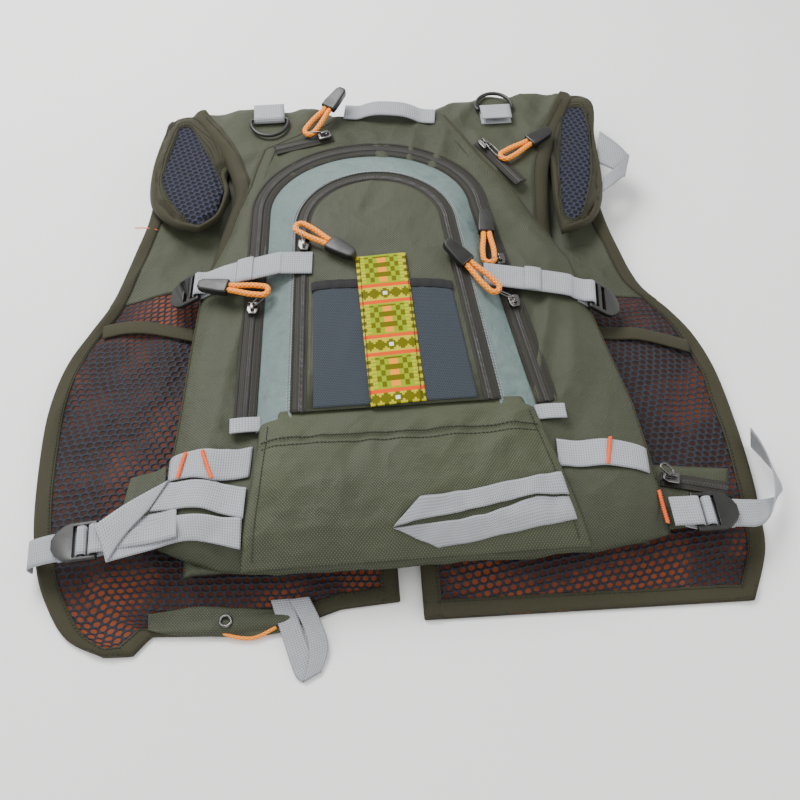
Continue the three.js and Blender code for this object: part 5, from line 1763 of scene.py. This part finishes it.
class VEST_OT_pulls(VestStep):
    """Zip pulls: a doubled orange cord moulded into a grip, and the cord at the hem"""

    bl_idname = "vest.pulls"
    bl_label = "Cord pulls"

    def build(self, finish):
        bend, reach, thick = 5.5, 33.7, sizes().cord_diameter
        for name, (spot, heading, tilt) in PULLS.items():
            body = f"{name}_pull"
            pinch = 2.9
            line = [Vector((reach - k * reach / 12, mix(pinch, bend, ease(k / 9)), 0)) for k in range(13)]
            for k in range(1, 16):
                turn = math.pi * (0.5 + k / 16)
                line.append(Vector((math.cos(turn) * bend, math.sin(turn) * bend, 0)))
            line += [Vector((k * reach / 12, -mix(bend, pinch, ease((k - 3) / 9)), 0)) for k in range(13)]
            seat = turned(spot, heading, tilt)
            drawn = runner(line, False)
            path = [seat @ drawn(k / 48) for k in range(49)]
            cap = refined(f"{name}_pull_cap", finish["black plastic"], body, 1.3, 3)
            rope = piece(f"{name}_cord", tube(path, thick / MM / 2, 12, False, 1.4),
                         finish["orange cord"], body, stands_for=[f"{name}_pull_cord"])
            along_it = [at(*p) for p in path]
            total = sum((b - a).length for a, b in zip(along_it, along_it[1:]))
            tuple(along_it[0])
            [tuple(p) for p in along_it]

            slider_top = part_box(f"{name}_slider")[1].z / MM - 1.6
            middle = (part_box(f"{name}_slider")[0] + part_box(f"{name}_slider")[1]) / 2 / MM
            hook = seat @ Vector((-bend, 0, 0))
            foot = Vector((middle.x - SHIFT.x / MM, middle.y - SHIFT.y / MM, slider_top))
            ahead = seat.to_3x3() @ Vector((1, 0, 0))
            across = ahead.cross(Vector((0, 0, 1))).normalized()
            up = across.cross(ahead).normalized()
            ring = []
            reach_up = max(3.4, (hook - foot).length / 2 + 0.8)
            centre = (hook + foot) / 2
            axis = (hook - foot).normalized() if (hook - foot).length > 1 else up
            other = axis.cross(across).normalized() if abs(axis.dot(across)) < 0.9 else ahead
            for k in range(25):
                turn = TURN * k / 24
                ring.append(centre + axis * reach_up * math.cos(turn) + other * 2.6 * math.sin(turn))
            piece(f"{name}_wire", tube(ring, 0.7, 8, False, 0.9, capped=False), finish["plated metal"],
                  f"{name}_slider")
        hem = [(-161, -287, 4.2), (-157, -289, 4.0), (-151, -291, 3.6), (-144, -292.5, 3.4), (-137, -293, 3.4),
               (-130, -291.5, 3.6), (-123, -288.5, 4.2), (-117, -286, 5.2)]
        spot = runner(hem)
        path = [spot(k / 30) for k in range(31)]
        along_it = [at(*p) for p in path]
        total = sum((b - a).length for a, b in zip(along_it, along_it[1:]))
        rope = piece("hem_cord", tube(path, 1.6, 10, False, 1.4), finish["orange cord"])
        tuple(along_it[0])
        [tuple(p) for p in along_it]


class VEST_OT_hardware(VestStep):
    """Sliders, locks, rings, buckle and side pull"""

    bl_idname = "vest.hardware"
    bl_label = "Hardware"

    def build(self, finish):
        for name in list(PULLS) + ["side_pocket"]:
            refined(f"{name}_slider", finish["plated metal"], f"{name}_slider", 0.6, 2)
        refined("side_pocket_pull", finish["plated metal"], "side_pocket_pull", 0.5, 2)
        for name in LOCKS:
            refined(name, finish["black plastic"], name, 0.7, 3)
        for side, (spot, heading) in RINGS.items():
            line = [(-18, 0), (-9, 0), (0, 0), (9, 0), (18, 0), (20, 2.4)]
            line += [(20 * math.cos(a), 4 + 22 * math.sin(a)) for a in [math.pi * k / 14 for k in range(1, 14)]]
            line += [(-20, 2.4), (-18, 0)]
            turn = Matrix.Rotation(math.radians(heading), 4, "Z")
            points = [Vector((*spot, RING_HEIGHT)) + turn @ Vector((x, y, 0)) for x, y in line]
            ring = tube(points, 2.0, 14, True, 1.5, capped=False)
            piece(f"d_ring_{side}_wire", ring, finish["black plastic"],
                  f"d_ring_{side}", stands_for=[f"d_ring_{side}"])
        refined("chest_buckle_socket", finish["black plastic"], "root", 0.9, 3)
        refined("chest_buckle_plug", finish["black plastic"], "chest_buckle_plug", 0.8, 3)
        eyelet = [Vector((-158 + 4.6 * math.cos(TURN * k / 24), -279 + 4.6 * math.sin(TURN * k / 24), 9.6))
                  for k in range(25)]
        piece("hem_eyelet", tube(eyelet, 1.3, 10, False, 1.0, capped=False), finish["plated metal"])


class VEST_OT_pockets(VestStep):
    """Pockets on the front panels, under the vest as it lies"""

    bl_idname = "vest.pockets"
    bl_label = "Front pockets"

    def build(self, finish):
        for side in ("left", "right"):
            puffed(f"pocket_cloth_{side}", f"front_pocket_{side}", 3.0, 5.0, 4.0, 6.0,
                   finish["green ripstop laid flat"])


class VEST_OT_trims(VestStep):
    """Piping at the left armhole, hem tab and the flap by the left lock"""

    bl_idname = "vest.trims"
    bl_label = "Trims"

    def build(self, finish):
        seam = runner([(-256, 156), (-244, 155), (-232, 151)])
        line = laid([seam(k / 20) for k in range(21)], 0.5, "front_cloth_left")
        piece("armhole_piping", tube(line, 0.6, 8, step=2), finish["orange thread"])

        def tab(u, v):
            x = mix(-222, -98, u)
            drop = 24 * math.sin(math.pi * clamp(u * 0.94 + 0.03)) ** 0.3
            y = -268 + 3 * math.sin(u * 5) - v * drop
            under = max(height(x, y, "front_net_left", "front_binding_left"), 2.4)
            bulge = 1.4 * math.sin(math.pi * v) * math.sin(math.pi * u)
            return at(x, y, under + 1.5 + bulge)
        piece("hem_tab", draped(60, 14, tab, (0.128, 0.03)), finish["green ripstop laid flat"],
              shell=1.0)

        def flap(u, v):
            p = Vector((-246, -196, 0)).lerp(Vector((-206, -196, 0)), u)
            q = Vector((-238, -152, 0)).lerp(Vector((-206, -148, 0)), u)
            p = p.lerp(q, v)
            return at(p.x, p.y, BACK_TOP + 4 + 8 * u * u + 1.5 * creases(p.x, p.y, 70, 40, 18, 3))
        piece("side_flap", draped(20, 22, flap, (0.042, 0.046)), finish["green ripstop"],
              shell=1.4)


class VEST_PT_panel(bpy.types.Panel):
    """Steps, sizes and colours of the vest"""

    bl_label = "Fishing vest"
    bl_idname = "VEST_PT_panel"
    bl_space_type = "VIEW_3D"
    bl_region_type = "UI"
    bl_category = "Vest"

    def draw(self, context):
        for step in STEPS:
            self.layout.operator(step.bl_idname)
        for heading, group in (("Sizes", "vest_sizes"), ("Colours", "vest_colours"), ("Stage", "vest_stage")):
            box = self.layout.box()
            box.label(text=heading)
            values = getattr(context.scene, group)
            for name in values.bl_rna.properties.keys():
                if name not in {"rna_type", "name"}:
                    box.prop(values, name)


STEPS = (
    VEST_OT_stage, VEST_OT_pulls, VEST_OT_fronts, VEST_OT_back, VEST_OT_pads, VEST_OT_pack, VEST_OT_gusset,
    VEST_OT_zips, VEST_OT_lower, VEST_OT_pocket, VEST_OT_straps, VEST_OT_hardware, VEST_OT_pockets,
    VEST_OT_trims,
)
GROUPS = (VestSizes, VestColours, VestStage)


def register():
    for group in (*GROUPS, *STEPS, VEST_PT_panel):
        bpy.utils.register_class(group)
    bpy.types.Scene.vest_sizes = PointerProperty(type=VestSizes)
    bpy.types.Scene.vest_colours = PointerProperty(type=VestColours)
    bpy.types.Scene.vest_stage = PointerProperty(type=VestStage)


def unregister():
    del bpy.types.Scene.vest_stage, bpy.types.Scene.vest_colours, bpy.types.Scene.vest_sizes
    for group in reversed((*GROUPS, *STEPS, VEST_PT_panel)):
        bpy.utils.unregister_class(group)


def main():
    register()
    for step in STEPS:
        getattr(bpy.ops.vest, step.bl_idname.split(".")[1])()


if __name__ == "__main__":
    main()
